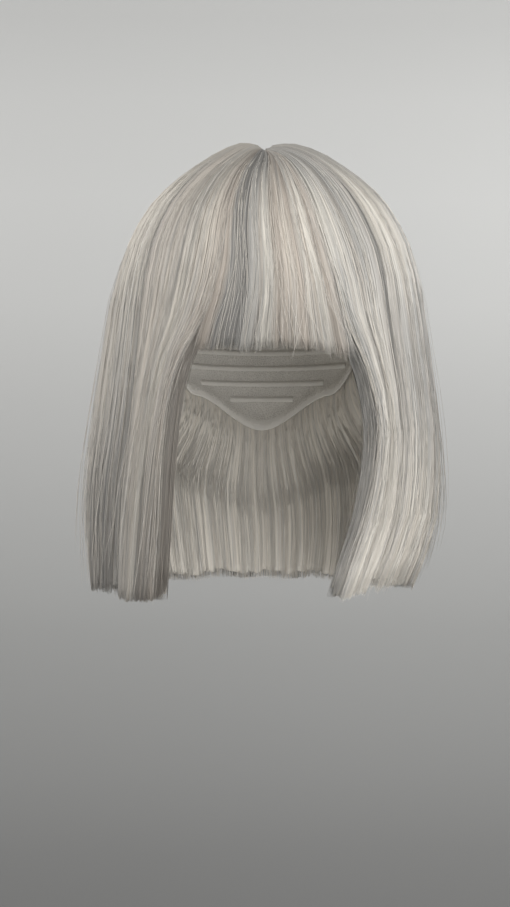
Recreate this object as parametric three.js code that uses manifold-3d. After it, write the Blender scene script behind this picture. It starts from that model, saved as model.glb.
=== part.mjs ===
// A bob wig with a straight fringe: a hollow cap, a parting and the hair that hangs from them.
// Units are millimetres. +Z is up and the face looks along -Y, so +X is the viewer's right.
// The origin is the crown of the head, where it meets the inside of the cap.

import * as THREE from "three";
import Module from "manifold-3d";

const wasm = await Module();
wasm.setup();
const { clamp, degToRad, lerp, smoothstep } = THREE.MathUtils;

// Rows of numbers as objects, with the named columns.
function table(columns, rows) {
  return rows.map((row) => Object.fromEntries(columns.split(" ").map((column, i) => [column, row[i]])));
}

// The head that the wig is made for
const headWidth = 152;
const headDepth = 192;
const crownHeight = 96; // from the crown down to the head's widest level
const headFullness = 2.2; // 2 gives an ellipsoid, more gives a squarer dome
const neckShrink = 0.3; // the share by which the head draws in towards the neck
const neckDrop = 200; // the height over which it draws in

// The cap and the parting sewn on it
const capWall = 1.5;
const capDrop = 186; // from the crown to the cap's edge at the nape
const seatGap = 0.35; // between a piece and what it rests on
const partingWidth = 11;
const partingWall = 1;

// The hair
const wigHeight = 314; // from the top of the hair to the hem
const crownLoft = 13; // how far the hair stands above the crown of the head
const sideLoft = 47.5; // and at its widest, beyond the sides of the head
const fringeLoft = 12;
const backLoft = 24;
const fringeDrop = 151; // from the top of the hair to the fringe's middle
const hairWall = 16; // thickness of the hair that hangs free
const faceWall = 11; // the same beside the face
const fringeWall = 6;
const lockDepth = 3.2; // depth of the furrow between two locks
const fringeDepth = 2.4;
const lockGap = 0.8; // between two neighbouring pieces of hair
const underFlare = 62; // below the cap's edge, the height over which the hair leaves the head
const fringeFlare = 26;

// How finely the shapes are divided
const capColumns = 44;
const capRows = 9;
const neckRows = 4;
const columnsPerLock = 4;
const rootStation = 0.2; // the hair starts this far from the parting's middle line, in stations

// The edge of the cap. turn is in degrees from the face, drop is a share of capDrop.
const capEdge = table("turn drop", [
  [0, 0.37],
  [45, 0.45],
  [75, 0.7],
  [100, 0.64],
  [135, 0.86],
  [180, 1],
]);

// Stations along the hair, from the parting to the hem. Each holds the outline seen from the front (side), from
// the face (front) and from behind (back), as shares of half wigWidth, frontReach and backReach. The drop of each
// is 0 at the top of the hair, 1 at the head's widest level and 2 at the hem. lean moves the station sideways, as
// a share of wigWidth.
const stations = table("side sideDrop front frontDrop back backDrop lean", [
  [0.0, 0.042, 0.315, 0.109, 0.15, 0.055, -0.016],
  [0.07, 0.022, 0.38, 0.133, 0.233, 0.029, -0.01],
  [0.16, 0.017, 0.463, 0.164, 0.35, 0.029, -0.004],
  [0.292, 0.075, 0.574, 0.228, 0.517, 0.092, 0.004],
  [0.44, 0.184, 0.694, 0.323, 0.683, 0.23, 0.005],
  [0.58, 0.308, 0.806, 0.47, 0.817, 0.415, 0.006],
  [0.698, 0.461, 0.907, 0.645, 0.908, 0.645, 0.004],
  [0.795, 0.665, 0.968, 0.85, 0.967, 0.905, 0.004],
  [0.861, 0.905, 0.991, 1.027, 0.996, 1.087, 0.002],
  [0.906, 1.096, 1.0, 1.136, 1.0, 1.225, -0.001],
  [0.947, 1.263, 0.981, 1.254, 0.983, 1.361, -0.002],
  [0.98, 1.43, 0.917, 1.421, 0.958, 1.49, -0.004],
  [1.0, 1.593, 0.87, 1.588, 0.933, 1.626, -0.009],
  [0.992, 1.749, 0.833, 1.749, 0.908, 1.764, -0.014],
  [0.95, 1.893, 0.806, 1.893, 0.883, 1.893, -0.028],
  [0.905, 2.0, 0.778, 2.0, 0.862, 2.0, -0.042],
]);

// Where one piece of hair ends and the next begins, in degrees from the face, with a row for each station.
// Left is towards -X. The fringe has its own columns, since the hair beside it opens out below its corners.
const partings = table("earLeft lockLeft faceLeft fringeLeft fringeRight faceRight lockRight earRight", [
  [-115, -56, -25, -25, 14, 14, 38, 115],
  [-115, -56, -25, -25, 14, 14, 38, 115],
  [-116, -56, -25, -25, 14, 14, 38.5, 116],
  [-117, -56, -25, -25, 14.5, 14.5, 39, 117],
  [-118, -56, -25, -25, 15.5, 15.5, 39.5, 118],
  [-120, -56, -24.5, -24.5, 17, 17, 40, 120],
  [-122, -56, -23, -23, 18, 18, 41, 122],
  [-124, -55.5, -21.5, -21.5, 19.5, 19.5, 42, 124],
  [-125, -53.5, -22, -22, 21.8, 21.8, 42, 125],
  [-126, -51.5, -25.5, -25, 24.5, 25, 42, 126],
  [-127, -50.5, -32.5, -27.5, 27, 31, 43.5, 126],
  [-128, -50.5, -35, -29, 29, 35.5, 45.5, 126],
  [-129, -51.5, -35.6, -30, 30, 34.3, 45, 125],
  [-131, -53, -36.4, -30, 30, 31.5, 43, 123],
  [-133, -54.5, -37.5, -30, 30, 29.3, 40.5, 120],
  [-135, -56, -38.5, -30, 30, 29, 39.5, 118],
]);

// The locks of each piece, in the direction of growing turn. width is relative to the other locks of the piece,
// rise is the lock's height over its furrows as a share of lockDepth, and reach is its length as a share of
// fringeDrop in the fringe and of wigHeight elsewhere.
const fringeLocks = table("width rise reach", [
  [1.1, 0.25, 1.01],
  [0.9, 0.45, 0.985],
  [1.0, 1.0, 1.01],
  [0.8, 0.7, 0.995],
  [0.9, 0.9, 0.985],
  [0.8, 0.65, 0.99],
  [1.1, 0.9, 1.01],
  [1.2, 0.25, 1.04],
]);
const frontLocksLeft = table("width rise reach", [
  [0.9, 0.85, 0.992],
  [1.2, 1.0, 1.0],
  [1.0, 0.8, 0.996],
]);
const frontLocksRight = table("width rise reach", [
  [0.8, 0.7, 0.99],
  [1.0, 1.0, 0.98],
]);
const sideLocksLeft = table("width rise reach", [
  [1.3, 0.8, 1.0],
  [1.1, 0.9, 0.99],
  [1.2, 0.8, 0.995],
  [0.8, 1.0, 0.985],
  [0.6, 0.7, 0.99],
]);
const sideLocksRight = table("width rise reach", [
  [0.8, 1.0, 0.975],
  [1.0, 0.8, 0.972],
  [1.2, 1.0, 0.982],
  [1.1, 0.8, 0.99],
  [1.3, 0.9, 1.0],
]);
const backLocks = table("width rise reach", [
  [1.1, 0.8, 0.995],
  [0.9, 1.0, 1.0],
  [1.2, 0.7, 0.99],
  [1.0, 0.9, 1.0],
  [0.8, 0.75, 0.995],
  [1.1, 1.0, 1.0],
  [0.9, 0.7, 0.99],
  [1.2, 0.9, 1.0],
  [1.0, 0.8, 0.995],
]);

const wigWidth = headWidth + 2 * sideLoft;
const frontReach = headDepth / 2 + fringeLoft;
const backReach = headDepth / 2 + backLoft;
const lastStation = stations.length - 1;
const fullRelief = 6; // the station by which the locks have their full relief
const faceSqueeze = 1.25; // above 1 it draws the hair in beside the face

// Colours and surfaces
const hairMaterial = new THREE.MeshStandardMaterial({ color: 0xb6b1aa, roughness: 0.45, metalness: 0 });
const fringeMaterial = new THREE.MeshStandardMaterial({ color: 0xb4b0a9, roughness: 0.45, metalness: 0 });
const capMaterial = new THREE.MeshStandardMaterial({ color: 0xc9c2b8, roughness: 0.9, metalness: 0 });
const partingMaterial = new THREE.MeshStandardMaterial({ color: 0xcfc0b2, roughness: 0.7, metalness: 0 });

// A smooth curve through one column of a table with evenly spaced rows.
function along(table, column, t) {
  const last = table.length - 1;
  const i = clamp(Math.floor(t), 0, last - 1);
  const [a, b, c, d] = [i - 1, i, i + 1, i + 2].map((k) => table[clamp(k, 0, last)][column]);
  const s = t - i;
  return 0.5 * (2 * b + (c - a) * s + (2 * a - 5 * b + 4 * c - d) * s ** 2 + (3 * b - a - 3 * c + d) * s ** 3);
}

// How far below the crown the cap ends, in the direction turn.
function capEdgeDrop(turn) {
  const away = Math.abs(((turn + 540) % 360) - 180);
  const i = Math.max(1, capEdge.findIndex((row) => row.turn >= away));
  const [a, b] = [capEdge[i - 1], capEdge[i]];
  return lerp(a.drop, b.drop, smoothstep(away, a.turn, b.turn)) * capDrop;
}

// The head's girth at height z as a share of its widest, for a head grown by offset on all sides.
function girth(z, offset) {
  const above = z + crownHeight;
  if (above <= 0) return 1 - neckShrink * smoothstep(-above, 0, neckDrop);
  const share = Math.min(1, above / (crownHeight + offset));
  return (1 - share ** headFullness) ** (1 / headFullness);
}

// A point on the grown head, in the direction turn at height z.
function headPoint(turn, z, offset) {
  const g = girth(z, offset);
  const x = Math.sin(degToRad(turn)) * (headWidth / 2 + offset) * g;
  const y = -Math.cos(degToRad(turn)) * (headDepth / 2 + offset) * g;
  return new THREE.Vector3(x, y, z);
}

// The height of the grown head's dome above the plan point x, y.
function domeHeight(x, y, offset) {
  const away = Math.hypot(x / (headWidth / 2 + offset), y / (headDepth / 2 + offset));
  return (crownHeight + offset) * (1 - away ** headFullness) ** (1 / headFullness) - crownHeight;
}

// The direction away from the head at a point outside it.
function outward(point) {
  return new THREE.Vector3(
    point.x / (headWidth / 2) ** 2,
    point.y / (headDepth / 2) ** 2,
    Math.max(0, point.z + crownHeight) / crownHeight ** 2,
  ).normalize();
}

// Whether a point lies outside the head grown by offset.
function isOutside(point, offset) {
  const above = Math.max(0, point.z + crownHeight) / (crownHeight + offset);
  const g = above > 0 ? 1 : girth(point.z, offset);
  const across = Math.hypot(point.x / (headWidth / 2 + offset), point.y / (headDepth / 2 + offset)) / g;
  return across ** headFullness + above ** headFullness > 1;
}

// The point of the grown head that is met by going straight in from an outer point.
function underPoint(point, direction, offset) {
  let [near, far] = [0, headWidth / 2];
  while (far - near > 1e-3) {
    const middle = (near + far) / 2;
    if (isOutside(point.clone().addScaledVector(direction, -middle), offset)) near = middle;
    else far = middle;
  }
  return point.clone().addScaledVector(direction, -far);
}

// The outer surface of the smooth hair, in the direction turn at station t.
function hairPoint(turn, t) {
  const forward = Math.cos(degToRad(turn));
  const inFront = forward > 0;
  const depth = inFront ? along(stations, "front", t) * frontReach : along(stations, "back", t) * backReach;
  const squeeze = inFront ? lerp(1, faceSqueeze, smoothstep(t, fullRelief - 1, fullRelief + 4)) : 1;
  const half = (along(stations, "side", t) * wigWidth) / 2;
  const level = lerp(
    along(stations, "sideDrop", t),
    along(stations, inFront ? "frontDrop" : "backDrop", t),
    forward ** 2,
  );
  const widest = -crownHeight;
  return new THREE.Vector3(
    along(stations, "lean", t) * wigWidth + half * Math.sin(degToRad(turn)),
    -Math.sign(forward) * depth * Math.abs(forward) ** squeeze,
    level < 1 ? lerp(crownLoft, widest, level) : lerp(widest, crownLoft - wigHeight, level - 1),
  );
}

// The station at which the hair in the direction turn has come down by drop.
function stationAt(turn, drop) {
  let [low, high] = [fullRelief, lastStation];
  while (high - low > 1e-3) {
    const middle = (low + high) / 2;
    if (crownLoft - hairPoint(turn, middle).z < drop) low = middle;
    else high = middle;
  }
  return low;
}

// A closed wall as a solid. outer and inner hold rows of points, from root to tip.
function wallSolid(outer, inner) {
  const [rows, columns] = [outer.length, outer[0].length];
  const points = [...outer.flat(), ...inner.flat()];
  const index = (layer, i, j) => layer * rows * columns + i * columns + j;
  const triangles = [];
  const quad = (a, b, c, d) => triangles.push(a, b, c, a, c, d);
  for (let i = 0; i < rows - 1; i++) {
    for (let j = 0; j < columns - 1; j++) {
      quad(index(0, i, j), index(0, i + 1, j), index(0, i + 1, j + 1), index(0, i, j + 1));
      quad(index(1, i, j), index(1, i, j + 1), index(1, i + 1, j + 1), index(1, i + 1, j));
    }
    const last = columns - 1;
    quad(index(0, i, 0), index(1, i, 0), index(1, i + 1, 0), index(0, i + 1, 0));
    quad(index(0, i, last), index(0, i + 1, last), index(1, i + 1, last), index(1, i, last));
  }
  for (let j = 0; j < columns - 1; j++) {
    const last = rows - 1;
    quad(index(0, 0, j), index(0, 0, j + 1), index(1, 0, j + 1), index(1, 0, j));
    quad(index(0, last, j), index(1, last, j), index(1, last, j + 1), index(0, last, j + 1));
  }
  return solidFrom(points, triangles);
}

function solidFrom(points, triangles) {
  return new wasm.Manifold(
    new wasm.Mesh({
      numProp: 3,
      vertProperties: new Float32Array(points.flatMap((p) => [p.x, p.y, p.z])),
      triVerts: new Uint32Array(triangles),
    }),
  );
}

// The head grown by offset, down to the cap's edge lowered by below, and past the hem where deep is true.
function headForm(offset, below, deep) {
  const points = [new THREE.Vector3(0, 0, offset)];
  const rows = capRows + (deep ? neckRows : 0);
  for (let i = 1; i <= rows; i++) {
    for (let j = 0; j < capColumns; j++) {
      const turn = (360 * j) / capColumns;
      const edge = -capEdgeDrop(turn) - below;
      const z = i <= capRows
        ? lerp(edge, offset, Math.cos((Math.PI / 2) * (i / capRows)))
        : lerp(edge, -wigHeight, (i - capRows) / neckRows);
      points.push(headPoint(turn, z, offset));
    }
  }
  const foot = points.length;
  points.push(new THREE.Vector3(0, 0, points[foot - 1].z));
  const index = (i, j) => 1 + (i - 1) * capColumns + (j % capColumns);
  const triangles = [];
  for (let j = 0; j < capColumns; j++) {
    triangles.push(0, index(1, j), index(1, j + 1));
    triangles.push(foot, index(rows, j + 1), index(rows, j));
    for (let i = 1; i < rows; i++) {
      triangles.push(index(i, j), index(i + 1, j), index(i + 1, j + 1));
      triangles.push(index(i, j), index(i + 1, j + 1), index(i, j + 1));
    }
  }
  return solidFrom(points, triangles);
}

// The skin of the parting, a thin strip that follows the cap, grown on all sides by extra and through by depth.
function partingStrip(extra, depth = 0) {
  const low = capWall + seatGap;
  const half = partingWidth / 2 + extra;
  const middle = stations[0].lean * wigWidth;
  const nose = -stations[0].front * frontReach - extra;
  const tail = stations[0].back * backReach + extra;
  const outline = [
    [middle - half * 0.6, nose],
    [middle + half * 0.6, nose],
    [middle + half, nose + half],
    [middle + half, tail - half],
    [middle + half * 0.4, tail],
    [middle - half * 0.4, tail],
    [middle - half, tail - half],
    [middle - half, nose + half],
  ];
  const column = wasm.Manifold.extrude([outline], crownHeight).translate([0, 0, crownLoft - crownHeight]);
  const shell = headForm(low + partingWall + extra, 0, true).subtract(headForm(low - depth, 0, true));
  return shell.intersect(column);
}

// How far a lock lies below the smooth hair at share u across a piece, at station t.
function furrow(locks, depth, u, t) {
  const total = locks.reduce((sum, lock) => sum + lock.width, 0);
  let start = 0;
  for (const lock of locks) {
    const width = lock.width / total;
    if (u <= start + width || lock === locks[locks.length - 1]) {
      const arch = Math.sqrt(Math.max(0, Math.sin(Math.PI * clamp((u - start) / width, 0, 1))));
      return depth * (1 - lock.rise * arch) * smoothstep(t, 0, fullRelief);
    }
    start += width;
  }
}

// The shares across a piece at which its locks are divided.
function divisions(locks) {
  const total = locks.reduce((sum, lock) => sum + lock.width, 0);
  const shares = [0];
  let start = 0;
  for (const lock of locks) {
    for (let k = 1; k <= columnsPerLock; k++) shares.push((start + (lock.width * k) / columnsPerLock) / total);
    start += lock.width;
  }
  return shares;
}

// The length of the locks at share u across a piece, between the middles of the two nearest.
function reachAt(locks, u) {
  const total = locks.reduce((sum, lock) => sum + lock.width, 0);
  let start = 0;
  const middles = locks.map((lock) => {
    start += lock.width;
    return (start - lock.width / 2) / total;
  });
  const after = middles.findIndex((middle) => middle > u);
  if (after === 0) return locks[0].reach;
  if (after < 0) return locks[locks.length - 1].reach;
  const share = (u - middles[after - 1]) / (middles[after] - middles[after - 1]);
  return lerp(locks[after - 1].reach, locks[after].reach, share);
}

// A piece of hair between two columns of the partings table, fused with its locks and cut to sit on bed.
function hairPiece(spec, bed) {
  const { from, to, fullTurn = 0, locks } = spec;
  const { depth = lockDepth, drop = wigHeight, wall = hairWall, flare = underFlare } = spec;
  const shares = divisions(locks);
  const turnAt = (u, t) => {
    const [a, b] = [along(partings, from, t), along(partings, to, t) + fullTurn];
    const middle = hairPoint((a + b) / 2, t);
    const span = hairPoint(a, t).distanceTo(middle) + middle.distanceTo(hairPoint(b, t));
    const inset = lockGap / 2 / span;
    return lerp(a, b, clamp(u, inset, 1 - inset));
  };
  const ends = shares.map((u) => {
    const nearly = stationAt(turnAt(u, fullRelief), drop);
    return stationAt(turnAt(u, nearly), reachAt(locks, u) * drop);
  });
  const wholeRows = Array.from({ length: Math.ceil(Math.min(...ends) - 0.2) - 1 }, (_, i) => i + 1);
  const columns = shares.map((u, j) =>
    [rootStation, ...wholeRows, ends[j]].map((t) => {
      const turn = turnAt(u, t);
      const smooth = hairPoint(turn, t);
      const out = outward(smooth);
      const outer = smooth.addScaledVector(out, -furrow(locks, depth, u, t));
      const edge = -capEdgeDrop(turn);
      const seated = smoothstep(outer.z, edge - flare, edge);
      const free = outer.clone().addScaledVector(out, -wall);
      return { outer, inner: free.lerp(underPoint(outer, out, -capWall), seated) };
    }),
  );
  const grid = (layer) => columns[0].map((_, i) => columns.map((column) => column[i][layer]));
  return wallSolid(grid("outer"), grid("inner")).subtract(bed);
}

// A named mesh from a solid.
function piece(name, solid, material) {
  const { vertProperties, triVerts } = solid.getMesh();
  const geometry = new THREE.BufferGeometry();
  geometry.setAttribute("position", new THREE.BufferAttribute(vertProperties, 3));
  geometry.setIndex(new THREE.BufferAttribute(triVerts, 1));
  geometry.computeVertexNormals();
  const mesh = new THREE.Mesh(geometry, material);
  mesh.name = name;
  return mesh;
}

// The pieces of hair, each between two columns of the partings table
const fringeSizes = { depth: fringeDepth, drop: fringeDrop, wall: fringeWall, flare: fringeFlare };
const hairSpecs = [
  { name: "fringe", from: "fringeLeft", to: "fringeRight", locks: fringeLocks, ...fringeSizes },
  { name: "front_lock_left", from: "lockLeft", to: "faceLeft", locks: frontLocksLeft, wall: faceWall },
  { name: "front_lock_right", from: "faceRight", to: "lockRight", locks: frontLocksRight, wall: faceWall },
  { name: "side_left", from: "earLeft", to: "lockLeft", locks: sideLocksLeft },
  { name: "side_right", from: "lockRight", to: "earRight", locks: sideLocksRight },
  { name: "back", from: "earRight", to: "earLeft", fullTurn: 360, locks: backLocks },
];

function wig() {
  const group = new THREE.Group();
  const cap = headForm(capWall, 0, false).subtract(headForm(0, 1, true));
  const bed = headForm(capWall + seatGap, 0, true).add(partingStrip(seatGap, capWall));
  group.add(piece("cap", cap, capMaterial));
  group.add(piece("parting", partingStrip(0), partingMaterial));
  for (const spec of hairSpecs) {
    const material = spec.name === "fringe" ? fringeMaterial : hairMaterial;
    group.add(piece(spec.name, hairPiece(spec, bed), material));
  }
  return group;
}

export default wig();
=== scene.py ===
import math

import bmesh
import bpy
import numpy as np
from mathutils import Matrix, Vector


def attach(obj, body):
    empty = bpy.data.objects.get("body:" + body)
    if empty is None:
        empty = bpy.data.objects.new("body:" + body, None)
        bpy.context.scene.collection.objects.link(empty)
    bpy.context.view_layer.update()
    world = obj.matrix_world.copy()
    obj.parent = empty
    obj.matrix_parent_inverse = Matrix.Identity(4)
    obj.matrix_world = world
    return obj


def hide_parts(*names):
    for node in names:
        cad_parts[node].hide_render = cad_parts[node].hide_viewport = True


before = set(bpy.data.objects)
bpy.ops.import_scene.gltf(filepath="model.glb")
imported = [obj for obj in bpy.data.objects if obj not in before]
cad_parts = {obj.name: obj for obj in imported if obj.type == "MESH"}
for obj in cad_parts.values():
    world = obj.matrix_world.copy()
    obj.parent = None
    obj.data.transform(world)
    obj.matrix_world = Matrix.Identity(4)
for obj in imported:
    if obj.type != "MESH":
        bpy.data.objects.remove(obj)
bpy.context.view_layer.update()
scene = bpy.context.scene
mm = 0.001
print("stage: frame loaded")


# The form that the hair follows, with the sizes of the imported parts

headSizes = {
    "width": 152 * mm,
    "depth": 192 * mm,
    "crown": 96 * mm,  # from the crown down to the widest level
    "fullness": 2.2,
    "neckShrink": 0.3,
    "neckDrop": 200 * mm,
}
capSizes = {
    "wall": 1.5 * mm,
    "drop": 186 * mm,
    "seatGap": 0.35 * mm,
    "partingWall": 1 * mm,
}
hairSizes = {
    "height": 314 * mm,  # from the top of the hair to the hem
    "crownLoft": 13 * mm,
    "sideLoft": 47.5 * mm,
    "fringeLoft": 12 * mm,
    "backLoft": 24 * mm,
    "fringeDrop": 151 * mm,
    "wall": 16 * mm,
    "faceWall": 11 * mm,
    "fringeWall": 6 * mm,
    "lockDepth": 3.2 * mm,
    "fringeDepth": 2.4 * mm,
    "underFlare": 62 * mm,
    "fringeFlare": 26 * mm,
    "fullRelief": 6,  # the station by which the locks have their full relief
    "faceSqueeze": 1.25,
}
wigWidth = headSizes["width"] + 2 * hairSizes["sideLoft"]
frontReach = headSizes["depth"] / 2 + hairSizes["fringeLoft"]
backReach = headSizes["depth"] / 2 + hairSizes["backLoft"]


def table(columns, rows):
    return dict(zip(columns.split(), np.array(rows, float).T))


# turn in degrees from the face, drop as a share of the cap's drop
capEdge = table("turn drop", [
    [0, 0.37], [45, 0.45], [75, 0.7], [100, 0.64], [135, 0.86], [180, 1],
])

# outline of the hair at stations from the parting to the hem, as shares of half the width and of the reaches
stations = table("side sideDrop front frontDrop back backDrop lean", [
    [0.0, 0.042, 0.315, 0.109, 0.15, 0.055, -0.016],
    [0.07, 0.022, 0.38, 0.133, 0.233, 0.029, -0.01],
    [0.16, 0.017, 0.463, 0.164, 0.35, 0.029, -0.004],
    [0.292, 0.075, 0.574, 0.228, 0.517, 0.092, 0.004],
    [0.44, 0.184, 0.694, 0.323, 0.683, 0.23, 0.005],
    [0.58, 0.308, 0.806, 0.47, 0.817, 0.415, 0.006],
    [0.698, 0.461, 0.907, 0.645, 0.908, 0.645, 0.004],
    [0.795, 0.665, 0.968, 0.85, 0.967, 0.905, 0.004],
    [0.861, 0.905, 0.991, 1.027, 0.996, 1.087, 0.002],
    [0.906, 1.096, 1.0, 1.136, 1.0, 1.225, -0.001],
    [0.947, 1.263, 0.981, 1.254, 0.983, 1.361, -0.002],
    [0.98, 1.43, 0.917, 1.421, 0.958, 1.49, -0.004],
    [1.0, 1.593, 0.87, 1.588, 0.933, 1.626, -0.009],
    [0.992, 1.749, 0.833, 1.749, 0.908, 1.764, -0.014],
    [0.95, 1.893, 0.806, 1.893, 0.883, 1.893, -0.028],
    [0.905, 2.0, 0.778, 2.0, 0.862, 2.0, -0.042],
])
lastStation = 15

# where one piece of hair ends and the next begins, in degrees from the face, at the same stations
partings = table("earLeft lockLeft faceLeft fringeLeft fringeRight faceRight lockRight earRight", [
    [-115, -56, -25, -25, 14, 14, 38, 115],
    [-115, -56, -25, -25, 14, 14, 38, 115],
    [-116, -56, -25, -25, 14, 14, 38.5, 116],
    [-117, -56, -25, -25, 14.5, 14.5, 39, 117],
    [-118, -56, -25, -25, 15.5, 15.5, 39.5, 118],
    [-120, -56, -24.5, -24.5, 17, 17, 40, 120],
    [-122, -56, -23, -23, 18, 18, 41, 122],
    [-124, -55.5, -21.5, -21.5, 19.5, 19.5, 42, 124],
    [-125, -53.5, -22, -22, 21.8, 21.8, 42, 125],
    [-126, -51.5, -25.5, -25, 24.5, 25, 42, 126],
    [-127, -50.5, -32.5, -27.5, 27, 31, 43.5, 126],
    [-128, -50.5, -35, -29, 29, 35.5, 45.5, 126],
    [-129, -51.5, -35.6, -30, 30, 34.3, 45, 125],
    [-131, -53, -36.4, -30, 30, 31.5, 43, 123],
    [-133, -54.5, -37.5, -30, 30, 29.3, 40.5, 120],
    [-135, -56, -38.5, -30, 30, 29, 39.5, 118],
])


def smooth(value, low, high):
    share = np.clip((value - low) / (high - low), 0, 1)
    return share * share * (3 - 2 * share)


def lerp(a, b, share):
    return a + (b - a) * share


# a smooth curve through one column of a table with evenly spaced rows
def along(values, t):
    last = len(values) - 1
    i = np.clip(np.floor(t), 0, last - 1).astype(int)
    a, b, c, d = (values[np.clip(i + k, 0, last)] for k in (-1, 0, 1, 2))
    s = t - i
    curve = (2 * a - 5 * b + 4 * c - d) * s**2 + (3 * b - a - 3 * c + d) * s**3
    return 0.5 * (2 * b + (c - a) * s + curve)


def capEdgeDrop(turn):
    away = np.abs((turn + 540) % 360 - 180)
    i = np.clip(np.searchsorted(capEdge["turn"], away), 1, len(capEdge["turn"]) - 1)
    share = smooth(away, capEdge["turn"][i - 1], capEdge["turn"][i])
    return lerp(capEdge["drop"][i - 1], capEdge["drop"][i], share) * capSizes["drop"]


# the head's girth at height z as a share of its widest, for a head grown by offset
def girth(z, offset):
    above = np.asarray(z) + headSizes["crown"]
    neck = 1 - headSizes["neckShrink"] * smooth(-above, 0, headSizes["neckDrop"])
    share = np.clip(above / (headSizes["crown"] + offset), 0, 1)
    dome = (1 - share ** headSizes["fullness"]) ** (1 / headSizes["fullness"])
    return np.where(above <= 0, neck, dome)


def headPoint(turn, z, offset):
    turn = np.radians(turn)
    g = girth(z, offset)
    x = np.sin(turn) * (headSizes["width"] / 2 + offset) * g
    y = -np.cos(turn) * (headSizes["depth"] / 2 + offset) * g
    return np.stack(np.broadcast_arrays(x, y, z), -1)


def domeHeight(x, y, offset):
    away = np.hypot(x / (headSizes["width"] / 2 + offset), y / (headSizes["depth"] / 2 + offset))
    rise = (1 - np.clip(away, 0, 1) ** headSizes["fullness"]) ** (1 / headSizes["fullness"])
    return (headSizes["crown"] + offset) * rise - headSizes["crown"]


# the direction away from the head at points outside it
def outward(points):
    x = points[..., 0] / (headSizes["width"] / 2) ** 2
    y = points[..., 1] / (headSizes["depth"] / 2) ** 2
    z = np.maximum(0, points[..., 2] + headSizes["crown"]) / headSizes["crown"] ** 2
    away = np.stack([x, y, z], -1)
    return away / np.linalg.norm(away, axis=-1, keepdims=True)


# how far points lie outside the grown head: negative inside
def outsideBy(points, offset):
    above = np.maximum(0, points[..., 2] + headSizes["crown"]) / (headSizes["crown"] + offset)
    g = np.where(above > 0, 1, girth(points[..., 2], offset))
    x = points[..., 0] / (headSizes["width"] / 2 + offset)
    y = points[..., 1] / (headSizes["depth"] / 2 + offset)
    return (np.hypot(x, y) / g) ** headSizes["fullness"] + above ** headSizes["fullness"] - 1


# the points of the grown head met by going straight in from outer points
def underPoint(points, direction, offset):
    near = np.zeros(points.shape[:-1])
    far = near + headSizes["width"] / 2
    for _ in range(18):
        middle = (near + far) / 2
        out = outsideBy(points - direction * middle[..., None], offset) > 0
        near = np.where(out, middle, near)
        far = np.where(out, far, middle)
    return points - direction * far[..., None]


# the smooth outer surface of the hair, in the direction turn at station t
def hairPoint(turn, t):
    turn, t = np.broadcast_arrays(np.radians(turn), np.asarray(t, float))
    forward = np.cos(turn)
    inFront = forward > 0
    forwards = along(stations["front"], t) * frontReach
    backwards = along(stations["back"], t) * backReach
    depth = np.where(inFront, forwards, backwards)
    relief = smooth(t, hairSizes["fullRelief"] - 1, hairSizes["fullRelief"] + 4)
    squeeze = np.where(inFront, lerp(1, hairSizes["faceSqueeze"], relief), 1)
    drop = np.where(inFront, along(stations["frontDrop"], t), along(stations["backDrop"], t))
    level = lerp(along(stations["sideDrop"], t), drop, forward**2)
    widest = -headSizes["crown"]
    upper = lerp(hairSizes["crownLoft"], widest, level)
    lower = lerp(widest, hairSizes["crownLoft"] - hairSizes["height"], level - 1)
    x = along(stations["lean"], t) * wigWidth + along(stations["side"], t) * wigWidth / 2 * np.sin(turn)
    y = -np.sign(forward) * depth * np.abs(forward) ** squeeze
    return np.stack([x, y, np.where(level < 1, upper, lower)], -1)


# The pieces of hair and how each is combed

# locks in the direction of growing turn. Streaks give the tone across a piece, from 0, dark ash, to 1, bright
# cream, at three heights:
# partly the hair's own ash and cream streaks, partly painted shade and light: dark seams between pieces, dark
# shaded under-hair and edges, and heights made darker or lighter as the lamps light them. crownTone is the
# even tone over the crown, and fade how far it covers the streaks
lockColumns = "width rise reach"
streakAndShadeColumns = "place upper middle lower warmth"
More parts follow.
